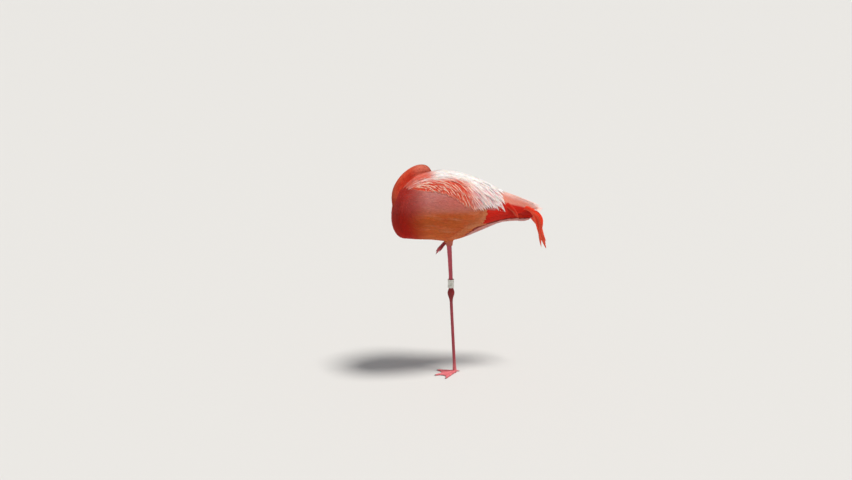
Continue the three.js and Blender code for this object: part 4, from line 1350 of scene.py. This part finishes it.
leg_parts = [
    add_part(*sh, leg_colours(sh[0], "shank"), "shank_l"), add_part(*ta, leg_colours(ta[0], "tarsus"), "tarsus_l"),
    add_part(*lt, leg_colours(lt[0], "lifted"), "tarsus_r"), add_part(*ls, leg_colours(ls[0], "lifted"), "shank_r")]
for o, kind in ((foot_l, "foot"), (foot_r, "foot_r")):
    v = coords(o)
    c = leg_colours(v, kind)
    paint(o, "Col", c)
    o.data.materials.append(LEG)
    leg_parts.append(o)

# legs, feet and lids join the skin: one object of flesh
bpy.ops.object.select_all(action="DESELECT")
for o in leg_parts + [lid]:
    o.select_set(True)
skin.select_set(True)
bpy.context.view_layer.objects.active = skin
bpy.ops.object.join()
print("legs", round(time.time() - T0, 1))

# =====================================================================================
# Leg ring
# =====================================================================================
prof = [(RING_R[0], RING_Z[0] + 0.5), (RING_R[0] + 0.35, RING_Z[0]), (RING_R[1] - 0.5, RING_Z[0]), (RING_R[1], RING_Z[0] + 0.6),
        (RING_R[1], RING_Z[0] + 2.2), (RING_R[1] - 0.18, RING_Z[0] + 2.6), (RING_R[1] - 0.18, RING_Z[1] - 2.6), (RING_R[1], RING_Z[1] - 2.2),
        (RING_R[1], RING_Z[1] - 0.6), (RING_R[1] - 0.5, RING_Z[1]), (RING_R[0] + 0.35, RING_Z[1]), (RING_R[0], RING_Z[1] - 0.5)]
a = np.linspace(0, 2 * np.pi, 72, endpoint=False)
V = []
for k, a_ in enumerate(a):
    step = 0.45 if a_ < 0.9 else 0.0  # the overlapping end of the closed band
    for r, z in prof:
        rr = r + (step if r > RING_R[0] + 0.4 else 0) - (0.25 if r > RING_R[0] + 0.4 else 0)
        V.append([1.3 + rr * math.cos(a_), 5.2 + rr * math.sin(a_), z])
V = np.array(V)
P_ = len(prof)
r_ = np.arange(72)[:, None]; c_ = np.arange(P_)[None, :]
F = np.stack([r_ * P_ + c_, ((r_ + 1) % 72) * P_ + c_, ((r_ + 1) % 72) * P_ + (c_ + 1) % P_, r_ * P_ + (c_ + 1) % P_], -1).reshape(-1, 4)
ring = mesh_object("band", V, F)
m_, nt_, b_ = material("band_plastic", 0.42)
tc_ = nt_.nodes.new("ShaderNodeTexCoord")
nz_ = node(nt_, "ShaderNodeTexNoise", Scale=95.0, Detail=6.0, Roughness=0.7)
nt_.links.new(tc_.outputs["Object"], nz_.inputs["Vector"])
nt_.links.new(ramp(nt_, nz_.outputs["Fac"], [(0.28, (0.30, 0.28, 0.20)), (0.46, (0.66, 0.65, 0.58)), (0.72, (0.82, 0.82, 0.79))]), b_.inputs["Base Color"])
nt_.links.new(ramp(nt_, nz_.outputs["Fac"], [(0.3, (0.62,) * 3), (0.7, (0.34,) * 3)]), b_.inputs["Roughness"])
bp_ = node(nt_, "ShaderNodeBump", Strength=0.2, Distance=0.0004)
nt_.links.new(nz_.outputs["Fac"], bp_.inputs["Height"]); nt_.links.new(bp_.outputs[0], b_.inputs["Normal"])
ring.data.materials.append(m_)
bev = ring.modifiers.new("b", "BEVEL"); bev.width = 0.0002; bev.segments = 2; bev.limit_method = "ANGLE"

# =====================================================================================
# Long plumes: scapulars, wing tips, drooping tertials, tail
# =====================================================================================
bv = [np.c_[coords(o)] for o in (bill_up, bill_lo)]
bn = [normals(o) for o in (bill_up, bill_lo)]


def quads_of(o):
    out = []
    for p in o.data.polygons:
        t = list(p.vertices)
        out.append(t if len(t) == 4 else [t[0], t[1], t[2], t[2]])
    return np.array(out)


class Hull(Surface):
    def __init__(self):
        vs, fs, ns = [SV], [QUADS], [SN]
        base = len(SV)
        for o, v_, n_ in zip((bill_up, bill_lo), bv, bn):
            vs.append(v_); ns.append(n_); fs.append(quads_of(o) + base); base += len(v_)
        self.v, self.f, self.n = np.vstack(vs), np.vstack(fs), np.vstack(ns)
        tri = np.vstack([self.f[:, [0, 1, 2]], self.f[:, [0, 2, 3]]])
        ok = (tri[:, 0] != tri[:, 1]) & (tri[:, 1] != tri[:, 2]) & (tri[:, 0] != tri[:, 2])
        owner = np.r_[np.arange(len(self.f)), np.arange(len(self.f))][ok]
        self.owner = owner
        self.tree = BVHTree.FromPolygons(self.v.tolist(), tri[ok].tolist())

    def project(self, p):
        loc = np.empty_like(p)
        idx = np.empty(len(p), int)
        for i, q in enumerate(p.tolist()):
            a, b, k, d = self.tree.find_nearest(q)
            loc[i] = a; idx[i] = self.owner[k]
        q = self.f[idx]
        w = 1.0 / (np.linalg.norm(self.v[q] - loc[:, None, :], axis=2) + 0.3)
        return loc, unit((self.n[q] * w[..., None]).sum(1))


over = Hull()


def plume_turn(y, th):
    """How far the plumes turn down from straight back, in degrees: level on the ridge, steep on the flank."""
    front = np.interp(th, [0, 15, 35, 50, 65, 80], [86, 82, 57, 33, 15, 5])
    rear = np.interp(th, [0, 30, 55, 70, 80], [60, 55, 44, 20, 6])
    w = smooth(50, 110, y)
    return front * (1 - w) + rear * w


def tip_line(y):
    """Angle round the body at which the lowest plume tips end."""
    return np.interp(y, [-142, -112, -87, -42, -10, 20, 45, 90, 150, 185], [62, 50, 38, 31, 24, 14, 5, 1, 3, -8])


def plume_paths(y1, th1, L, side, K, straight=0.0):
    """Middle lines of plumes that end at y1, th1: straight back at the root, turned down at the tip."""
    h, w = body_half(y1)
    a = np.radians(th1)
    R = np.sqrt((w * np.sin(a)) ** 2 + (h * np.cos(a)) ** 2)
    t1 = np.radians(plume_turn(y1, th1)) * (1 - straight)
    t0 = t1 * 0.22
    v1 = np.radians(th1) * R
    ya, va = y1 - np.cos(t1) * L * 0.5, v1 + np.sin(t1) * L * 0.5
    yb, vb = ya - np.cos(t0) * L * 0.5, va + np.sin(t0) * L * 0.5
    out, YY, TH = [], [], []
    for k in range(K + 1):
        q = k / K
        y = (1 - q) ** 2 * yb + 2 * q * (1 - q) * ya + q * q * y1
        th = np.degrees(((1 - q) ** 2 * vb + 2 * q * (1 - q) * va + q * q * v1) / R)
        th = np.where(th > 78, 78 + 10 * np.tanh((th - 78) / 12), th) if not straight else th
        y = np.maximum(y, -178 + 6 * q)
        out.append(on_inset(y, np.where(side > 0, th, 180 - th), -INSET + 1.0))
        YY.append(y); TH.append(th)
    return np.array(out), np.array(YY), np.array(TH)


def plume_set(side, kind):
    g = np.random.default_rng(40 + (1 if side > 0 else 2) + (7 if kind == "bright" else 0))
    out = []
    rows = [0, 0.12, 0.25, 0.39, 0.54, 0.70, 0.86] if kind == "wide" else [0.0, 0.09, 0.22, 0.37, 0.54, 0.72]
    for k, f in enumerate(rows):
        step = 8.4 if kind == "wide" else (15 if k < 2 else 12)
        for j, y in enumerate(np.arange(-108 - 14 * f + (k % 2) * step / 2, 188 - 8 * f, step)):
            y = y + g.uniform(-0.3, 0.3) * step
            th = tip_line(y) + f * (84 - tip_line(y)) + g.normal(0, 1.6)
            L = np.interp(y, [-140, -95, -45, 0, 60, 120, 180], [34, 40, 58, 78, 98, 112, 118]) * g.uniform(0.88, 1.12)
            W = g.uniform(4.8, 6.4) * np.interp(y, [-140, -60, 60], [0.75, 0.95, 1.15]) if kind == "wide" else g.uniform(1.7, 2.7)
            out.append((y, th, L, W, k, f))
    return np.array(out)


def clear_face(P, Nn):
    """Plumes never lie over the face; only the far half of the bill is tucked under them."""
    ok = np.ones(P.shape[1], bool)
    for q in P:
        x, y, z = to_head(q)
        near = (np.abs(y) < 26) & (z > -30) & (z < 34) & (x > -50) & (x < 58)
        at, nd = neck_near(q)
        ok &= ~near & ~((nd < 5) & (at > 40))
    return ok


def plume_tone(YY, TH, kind, tn):
    """Coral in the middle of the wing, pale rose to white along the ridge and at the rear, bright edges and tips, and
    painted lilac shade on alternate plumes at the rear.
    """
    def fn(i, s, a, r):
        shape = s.shape + (3,)
        y = YY[:, i].T[:, :, None] * np.ones_like(s); th = TH[:, i].T[:, :, None] * np.ones_like(s)
        cc = smooth(-168, -135, y) * smooth(112, 34, y + 0.6 * (th - 30)) * smooth(70, 52, th)
        up = smooth(30, 62, th)
        near = smooth(-36, -82, y) * smooth(60, 74, th)
        if kind == "wide":
            wv = smooth(-98, -40, y)
            alternate_tone_and_shade = (0.5 + 0.5 * np.sin(tn[i] * 9.0))[:, None, None] * np.ones_like(s)
            rear = smooth(30, 90, y) * smooth(74, 56, th)
            pale = mixc(np.broadcast_to(lin(236, 140, 128), shape), np.broadcast_to(C_WHITE, shape), wv * (0.4 + 0.6 * up))
            # painted shade: a lilac tone on alternate rear plumes stands for the shade between them
            pale = mixc(pale, lin(226, 138, 150), rear * alternate_tone_and_shade * 0.8 * smooth(1.0, 0.75, s))
            pale = mixc(pale, lin(240, 176, 160), smooth(-70, 0, y) * smooth(60, -10, y) * smooth(80, 66, th) * alternate_tone_and_shade * 0.5)
            core = mixc(pale, np.broadcast_to(lin(214, 60, 38), shape), cc)
            rim = mixc(np.broadcast_to(C_WHITE, shape), np.broadcast_to(lin(250, 164, 138), shape), cc)
            core = core * (1 + 0.10 * np.sin(y * 0.9 + th))[..., None]
            c = mixc(core, rim, np.clip(smooth(0.5, 0.95, np.abs(a)) * 0.55 + smooth(0.72, 1.0, s) * (0.8 - 0.35 * cc), 0, 1))
        else:
            root = mixc(mixc(np.broadcast_to(C_ROSE, shape), np.broadcast_to(C_WHITE, shape), smooth(-98, -40, y)), np.broadcast_to(lin(222, 72, 42), shape), cc)
            c = mixc(root, mixc(np.broadcast_to(C_WHITE, shape), np.broadcast_to(lin(255, 188, 164), shape), cc), smooth(0.3, 0.6, s))
            c = mixc(c, C_WHITE, smooth(0.78, 0.96, s) * 0.6)
        c = mixc(c, C_CORAL, near * 0.75)
        return c * (1 + 0.03 * tn[i][:, None, None, None])
    return fn


for side in (1, -1):
    for kind in ("wide", "bright"):
        o = plume_set(side, kind)
        tone = np.random.default_rng(3 + (side > 0)).normal(0, 1, len(o))
        for k in range(int(o[:, 4].max()) + 1):
            q = o[o[:, 4] == k]
            P_, YY, TH = plume_paths(q[:, 0], q[:, 1], q[:, 2], np.full(len(q), side), 11)
            base = 1.2 + 0.45 * k + (0.8 if kind == "bright" else 0)
            rise = 3.2 * smooth(70, 120, q[:, 0])
            COAT += vanes(f"plumes_{kind}_{'left' if side > 0 else 'right'}_{k}", P_[0], None, q[:, 2], q[:, 3], plume_tone(YY, TH, kind, tone[:len(q)]),
                          uv_body(P_[0]), SPEAR if kind == "wide" else LANCE, K=11, inner=3, lift=(base - 1.2 + 0.3 * rise, base + 1.6 + rise), camber=0.2, thick=0.5, on=over, mat=PLUME,
                          keep=clear_face, ripple=0.06, calm=0.4, path=P_)

# the mantle along the ridge, lying over the plumes of both sides
ry, rt, rl, rw_ = [], [], [], []
for k, y in enumerate(np.arange(-118, 200, 9.0)):
    for t in np.arange(74, 107, 6.5):
        ry.append(y + rng.normal(0, 2.2)); rt.append(t + (k % 2) * 3.2 + rng.normal(0, 0.8))
        rl.append(np.interp(y, [-120, 0, 120, 200], [44, 84, 110, 110]) * rng.uniform(0.9, 1.1)); rw_.append(rng.uniform(6.0, 7.6))
ry, rt, rl, rw_ = map(np.array, (ry, rt, rl, rw_))
P_, YY, TH = plume_paths(ry, rt, rl, np.ones(len(ry)), 9, straight=0.97)
COAT += vanes("plumes_ridge", P_[0], None, rl, rw_, plume_tone(YY, 90 - np.abs(TH - 90), "wide", rng.normal(0, 1, len(ry))), uv_body(P_[0]), LANCE,
              K=9, inner=3, lift=(1.2, np.interp(ry, [-118, 80, 140], [4.2, 4.6, 6.2])), camber=0.14, thick=0.5, on=over, mat=PLUME, keep=clear_face, ripple=0.05, calm=0.4, path=P_)
print("plumes", round(time.time() - T0, 1))


# ---- free-standing long feathers: given by their own curve ---------------------------
def blade(name, curves, widths, colour, profile=BROAD, K=26, inner=5, camber=0.12, thick=0.9, up=(1, 0, 0), mat=None, notch=0.0, uv0=None):
    """Long feathers given by their middle lines; up is the direction their upper face looks."""
    N = len(curves)
    P = np.array([along(spline(c, 12), K + 1) for c in curves])  # N, K+1, 3
    T = unit(np.gradient(P, axis=1))
    ups = np.asarray(up, float)
    ups = np.broadcast_to(ups, (N, 3)) if ups.ndim == 1 else ups
    S = unit(np.cross(T, ups[:, None, :]))
    U = unit(np.cross(S, T))
    s = np.linspace(0, 1, K + 1)
    M = inner
    cols = np.linspace(-1, 1, M + 2)
    ring_a = np.r_[cols, cols[-2:0:-1]]
    top = np.r_[0, np.ones(M), 0, -np.ones(M)]
    R = len(ring_a)
    w = profile(s)[None, :] * np.asarray(widths, float)[:, None]
    ph = rng.uniform(0, 6.28, N)
    w = w * (1 + 0.04 * np.sin(s[None, :] * 23 + ph[:, None]) + 0.03 * np.sin(s[None, :] * 57 + 2 * ph[:, None]))
    shaft = 0.5 * np.exp(-(ring_a / 0.16) ** 2) * (top > 0)
    h = camber * (1 - ring_a ** 2)[None, None, :] * w[..., None] + (top * thick * 0.5 + shaft)[None, None, :] * (1 - 0.6 * s)[None, :, None]
    V = P[:, :, None, :] + S[:, :, None, :] * (ring_a[None, None, :] * w[..., None])[..., None] + U[:, :, None, :] * h[..., None]
    vn = (K + 1) * R
    q = []
    for k in range(K):
        for j in range(R):
            q.append((k * R + j, k * R + (j + 1) % R, (k + 1) * R + (j + 1) % R, (k + 1) * R + j))
    for k, flip in ((0, True), (K, False)):
        ringv = [k * R + j for j in range(R)]
        for j in range(M + 1):
            a0, a1 = ringv[j], ringv[j + 1]
            b1, b0 = ringv[(R - j - 1) % R], ringv[(R - j) % R]
            face = [a0, a1, b1, b0]
            face = [x for n_, x in enumerate(face) if x not in face[:n_]]
            q.append(tuple(face[::-1] if flip else face))
    faces, verts = [], V.reshape(-1, 3)
    for n_ in range(N):
        faces += [tuple(x + n_ * vn for x in f) for f in q]
    o = mesh_object(name, verts, faces)
    me = o.data
    A = np.broadcast_to(ring_a[None, None, :], (N, K + 1, R)); SS = np.broadcast_to(s[None, :, None], (N, K + 1, R))
    paint(o, "Col", colour(np.arange(N), SS, A).reshape(-1, 3))
    lens = np.linalg.norm(np.diff(P, axis=1), axis=2).sum(1)
    vec = np.zeros((N, K + 1, R, 3), np.float32)
    vec[..., 0] = SS * lens[:, None, None]; vec[..., 1] = A * w[..., None]; vec[..., 2] = rng.random(N)[:, None, None]
    me.attributes.new("vane", "FLOAT_VECTOR", "POINT").data.foreach_set("vector", vec.ravel())
    uv = uv_body(P[:, 0]) if uv0 is None else uv0
    um = np.zeros((N, K + 1, R, 2), np.float32)
    um[..., 0] = uv[:, 0][:, None, None] + A * 0.0015; um[..., 1] = uv[:, 1][:, None, None] + (SS - 0.5) * 0.003
    um = um.reshape(-1, 2)
    li = np.zeros(len(me.loops), np.int32); me.loops.foreach_get("vertex_index", li)
    me.uv_layers.new(name="OFBake").data.foreach_set("uv", um[li].ravel())
    ed = np.zeros(len(me.edges) * 2, np.int32); me.edges.foreach_get("vertices", ed)
    ed = ed.reshape(-1, 2) % vn % R
    sharp = (ed[:, 0] == ed[:, 1]) & ((ed[:, 0] == 0) | (ed[:, 0] == M + 1))
    me.attributes.new("sharp_edge", "BOOLEAN", "EDGE").data.foreach_set("value", sharp)
    me.materials.append(mat or PLUME)
    return o


g = np.random.default_rng(77)


def tone_fn(base, tipc, edge=None, a0=0.45, a1=0.95, seed=1):
    gg = np.random.default_rng(seed)

    def fn(i, s, a):
        n = gg.normal(0, 1, len(i))[:, None, None]
        shape = s.shape + (3,)
        c = mixc(np.broadcast_to(base, shape), np.broadcast_to(tipc, shape), smooth(a0, a1, s))
        if edge is not None:
            c = mixc(c, np.broadcast_to(edge, shape), np.abs(a) ** 3 * 0.5)
        return c * (1 + 0.05 * n[..., None])
    return fn


# drooping tertials: a fan of scarlet blades on each side, parting into two pointed tips
def droop(points, offsets, ends, seed, back):
    gg = np.random.default_rng(seed)
    P = along(spline(points, 12), 9)
    T = unit(np.gradient(P, axis=0))
    out = []
    for o_, e_ in zip(offsets, ends):
        nrm = unit(np.cross(T, np.array([1.0, 0, 0])))
        k = np.interp(np.linspace(0, 1, 9), [0, 0.36, 0.58, 0.8, 1], [0.0, 0.1, 1, 0.9, 0.5]) * o_
        Q = P + nrm * k[:, None] + np.array([gg.uniform(-2.5, 2.5), 0, 0])
        w_ = smooth(0.45, 1.0, np.linspace(0, 1, 9))[:, None]
        Q = Q + (np.asarray(e_, float) - Q[-1]) * w_
        out.append(Q.tolist())
    return out


near_path = [[18, 200, 606], [22, 238, 605], [26, 276, 597], [27.5, 308, 563], [26.5, 323, 505], [25, 338, 450]]
near_curves = droop(near_path, [13, 12, 11, 8, 5, 2, -1, -4, -7, -10, -12, 0], [[24, 338, 466], [27, 338, 476], [25, 339, 449], [27, 339, 453], [24, 337, 460], [26, 336, 470], [26, 330, 480], [28, 321, 456], [29, 320, 462], [27, 318, 472], [30, 314, 488], [26, 328, 490]], 4, 1)
o = blade("tertials_near", near_curves, [6.6, 6.8, 7.0, 7.2, 7.4, 7.4, 7.2, 7.4, 7.2, 7.0, 6.4, 7.0], tone_fn(lin(244, 54, 28), lin(240, 84, 60), lin(250, 124, 92), 0.6, 1.0, seed=2), SPEAR, up=(0.9, 0.25, 0.35), inner=5)
COAT.append(o)
far_path = [[-18, 200, 606], [-22, 238, 603], [-25, 270, 592], [-26.5, 294, 572], [-25.5, 313, 528]]
far_curves = droop(far_path, [9, 5, 1, -3, -6, -9], [[-25, 313, 526], [-27, 312, 532], [-24, 310, 540], [-26, 306, 546], [-28, 302, 552], [-26, 297, 560]], 5, -1)
COAT.append(blade("tertials_far", far_curves, [7.0, 7.2, 7.2, 7.0, 6.8, 6.4], tone_fn(C_SCARLET, lin(236, 84, 60), lin(244, 128, 98), 0.55, 1.0, seed=3), SPEAR, up=(-0.9, 0.25, 0.35), inner=5))
# the short pointed pair that crosses the folded wing
cross_c, cross_w = [], []
for sgn in (1, -1):
    for k in range(3):
        cross_c.append([[sgn * (20 + k), 152 - 4 * k, 642 + k], [sgn * (42.5 + 0.6 * k), 190 - 5 * k, 626], [sgn * (43.5 + k), 220 - 5 * k, 596 + 3 * k], [sgn * (34.5 + 1.5 * k), 238 - 6 * k, 566 + 5 * k]])
        cross_w.append(5.4)
COAT.append(blade("tertials_short", cross_c, cross_w, tone_fn(C_SCARLET, lin(228, 60, 36), lin(240, 120, 92), 0.5, 1.0, seed=8), SPEAR,
                  up=np.array([unit([1, 0.25, 0.25])] * 3 + [unit([-1, 0.25, 0.25])] * 3), inner=3))

# folded wing: long quills over the rump, rose above, scarlet below
tips, tw, tu, tup = [], [], [], []
for side in (1, -1):
    for k in range(21):
        u = k / 20
        a0 = 87 - 116 * u
        y0 = 84 + 14 * math.sin(u * 2.6) + g.uniform(-4, 4)
        y1 = np.interp(u, [0, 0.25, 0.5, 0.75, 1], [316, 312, 298, 262, 214]) + g.uniform(-5, 5)
        pts = []
        for q_ in np.linspace(0, 1, 7):
            y = y0 + (y1 - y0) * q_
            ang = a0 * (1 - 0.30 * q_)
            off = np.interp(q_, [0, 0.1, 0.3, 0.7, 1], [-7, -3.2, -1.6, -0.6, 0.0])
            p_ = body_point(np.array([min(y, 296)]), np.array([ang if side > 0 else 180 - ang]), off)[0]
            p_[1] = y
            if y > 296: p_[2] -= (y - 296) * 0.30
            pts.append(p_)
        tips.append(pts); tw.append(8.6 - 1.4 * u); tu.append(u)
        am = math.radians(min(88, a0 * 0.88 + 9))
        tup.append(unit([math.cos(am) * side, 0.14, math.sin(am) + 0.1]))
for k, (y0, y1, x) in enumerate([(70, 322, 0), (76, 314, 5), (76, 314, -5), (66, 300, 2.5), (66, 300, -2.5)]):
    yy = np.linspace(y0, y1, 7)
    pts = [body_point(np.array([min(y, 296)]), np.array([90.0]), np.interp(q_, [0, 0.12, 1], [-7, -1.8, 0.4]))[0] + [x, max(0, y - 296), -max(0, y - 296) * 0.3] for q_, y in zip(np.linspace(0, 1, 7), yy)]
    tips.append(pts); tw.append(8.2); tu.append(0.0); tup.append(unit([0.02 * x, 0.14, 1]))
tu = np.array(tu)


def tip_colour(i, s, a):
    shape = s.shape + (3,)
    u = tu[i][:, None, None] * np.ones_like(s)
    upper = mixc(np.broadcast_to(lin(238, 136, 116), shape), np.broadcast_to(C_PALE, shape), smooth(0.25, 0.0, u) * 0.6 + smooth(0.75, 1.0, s) * 0.6)
    lower = mixc(np.broadcast_to(lin(214, 104, 98), shape), np.broadcast_to(C_SCARLET, shape), np.clip(smooth(0.28, 0.44, s) + smooth(0.68, 0.76, u), 0, 1))
    c = mixc(upper, lower, smooth(0.40, 0.50, u))
    # painted shade along one edge of each quill and a painted highlight along the other
    c = mixc(c, c * 0.6, smooth(0.7, 1.0, -a) * 0.7)
    return mixc(c, c * 1.25 + 0.02, smooth(0.7, 1.0, a) * 0.5)


COAT.append(blade("wing_tips", tips, tw, tip_colour, LANCE, K=24, up=np.array(tup), inner=3, camber=0.10, thick=0.7))

# tail fan under the wing tips
fan, fw = [], []
for k in range(13):
    u = (k - 6) / 6
    back = 331 - 17 * abs(u) ** 1.5 + g.uniform(-3.5, 3.5)
    fan.append([[4 * u, 205, 610 - abs(u)], [13 * u, 250, 602 - 2 * abs(u)], [23 * u, 296, 594 - 3 * abs(u)], [29 * u, back, 588 - 4 * abs(u) + 0.8 * (k % 2)]])
    fw.append(7.6)
COAT.append(blade("tail_fan", fan, fw, tone_fn(lin(236, 132, 112), C_PALE, C_WHITE, 0.5, 1.0, seed=5), SPEAR, K=20, up=(0, 0.1, 1), inner=5))
print("blades", round(time.time() - T0, 1))

# =====================================================================================
# Bodies and replaced solids
# =====================================================================================
COAT = [o for o in COAT if o]
for o in [skin, bill_up, bill_lo, slit, claws, ring] + eyes + COAT:
    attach(o, "root")
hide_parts("trunk", "wing_left", "wing_right", "neck_base", "neck_middle", "neck_upper", "head",
            "shank_left", "tarsus_left", "foot_left", "shank_right", "tarsus_right", "foot_right")
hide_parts("tertials_left")
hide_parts("tertials_right")
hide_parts("tail")
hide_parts("bill_upper")
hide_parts("bill_lower")
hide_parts("eye_left")
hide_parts("eye_right")
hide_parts("leg_ring")

# =====================================================================================
# Studio: floor, light, camera
# =====================================================================================
me = bpy.data.meshes.new("floor")
S_ = 40.0
me.from_pydata([(-S_, -S_, 0), (S_, -S_, 0), (S_, S_, 0), (-S_, S_, 0)], [], [(0, 1, 2, 3)])
floor = bpy.data.objects.new("floor", me)
bpy.context.scene.collection.objects.link(floor)
m_, nt_, b_ = material("floor_pale", 0.85)
b_.inputs["Base Color"].default_value = (0.63, 0.63, 0.62, 1)
me.materials.append(m_)

w = bpy.data.worlds.new("world"); bpy.context.scene.world = w
w.use_nodes = True
wt = w.node_tree
bg = wt.nodes["Background"]
tcw = wt.nodes.new("ShaderNodeTexCoord")
sepw = wt.nodes.new("ShaderNodeSeparateXYZ"); wt.links.new(tcw.outputs["Generated"], sepw.inputs[0])
wt.links.new(ramp(wt, sepw.outputs[2], [(0.08, (0.74, 0.74, 0.735)), (0.40, (0.30, 0.305, 0.315))]), bg.inputs[0])
bg.inputs[1].default_value = 1.0

sun_d = bpy.data.lights.new("key", "SUN")
sun_d.energy, sun_d.angle, sun_d.color = 3.3, math.radians(14), (1.0, 0.965, 0.92)
sun = bpy.data.objects.new("key", sun_d)
sun.rotation_mode = "QUATERNION"
sun.rotation_quaternion = Vector((-0.20, -0.26, -0.94)).to_track_quat("-Z", "Y")
bpy.context.scene.collection.objects.link(sun)

FPX, MMPX, AZ, EL = 1430.0, 3.5, 79.0, 18.0
a, e = math.radians(AZ), math.radians(EL)
back = Vector((math.sin(a) * math.cos(e), -math.cos(a) * math.cos(e), math.sin(e)))
target = Vector(ANKLE) * MM
cam_d = bpy.data.cameras.new("camera")
cam = bpy.data.objects.new("camera", cam_d)
bpy.context.scene.collection.objects.link(cam)
cam_d.sensor_width = 36
cam_d.lens = FPX / 852 * 36
cam.location = target + back * (FPX * MMPX * MM)
q0 = (-back).to_track_quat("-Z", "Y")
# turn the camera so that the ankle falls at its place in the frame
px, py = 451 - 426, 295 - 240
turn = Matrix.Rotation(math.atan(px / FPX), 4, "Y") @ Matrix.Rotation(math.atan(py / FPX), 4, "X")
cam.rotation_mode = "QUATERNION"
cam.rotation_quaternion = q0 @ turn.to_quaternion()
cam_d.clip_end = 200
bpy.context.scene.camera = cam
bpy.context.scene.view_settings.view_transform = "Standard"
bpy.context.scene.view_settings.look = "None"

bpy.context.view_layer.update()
tot = 0
for o in [skin] + COAT:
    t = sum(len(p.vertices) - 2 for p in o.data.polygons) if len(o.data.polygons) < 4000 else int(len(o.data.loops) - 2 * len(o.data.polygons))
    tot += t
    if t > 150000: print(o.name, t)
print("triangles", tot, "time", round(time.time() - T0, 1))
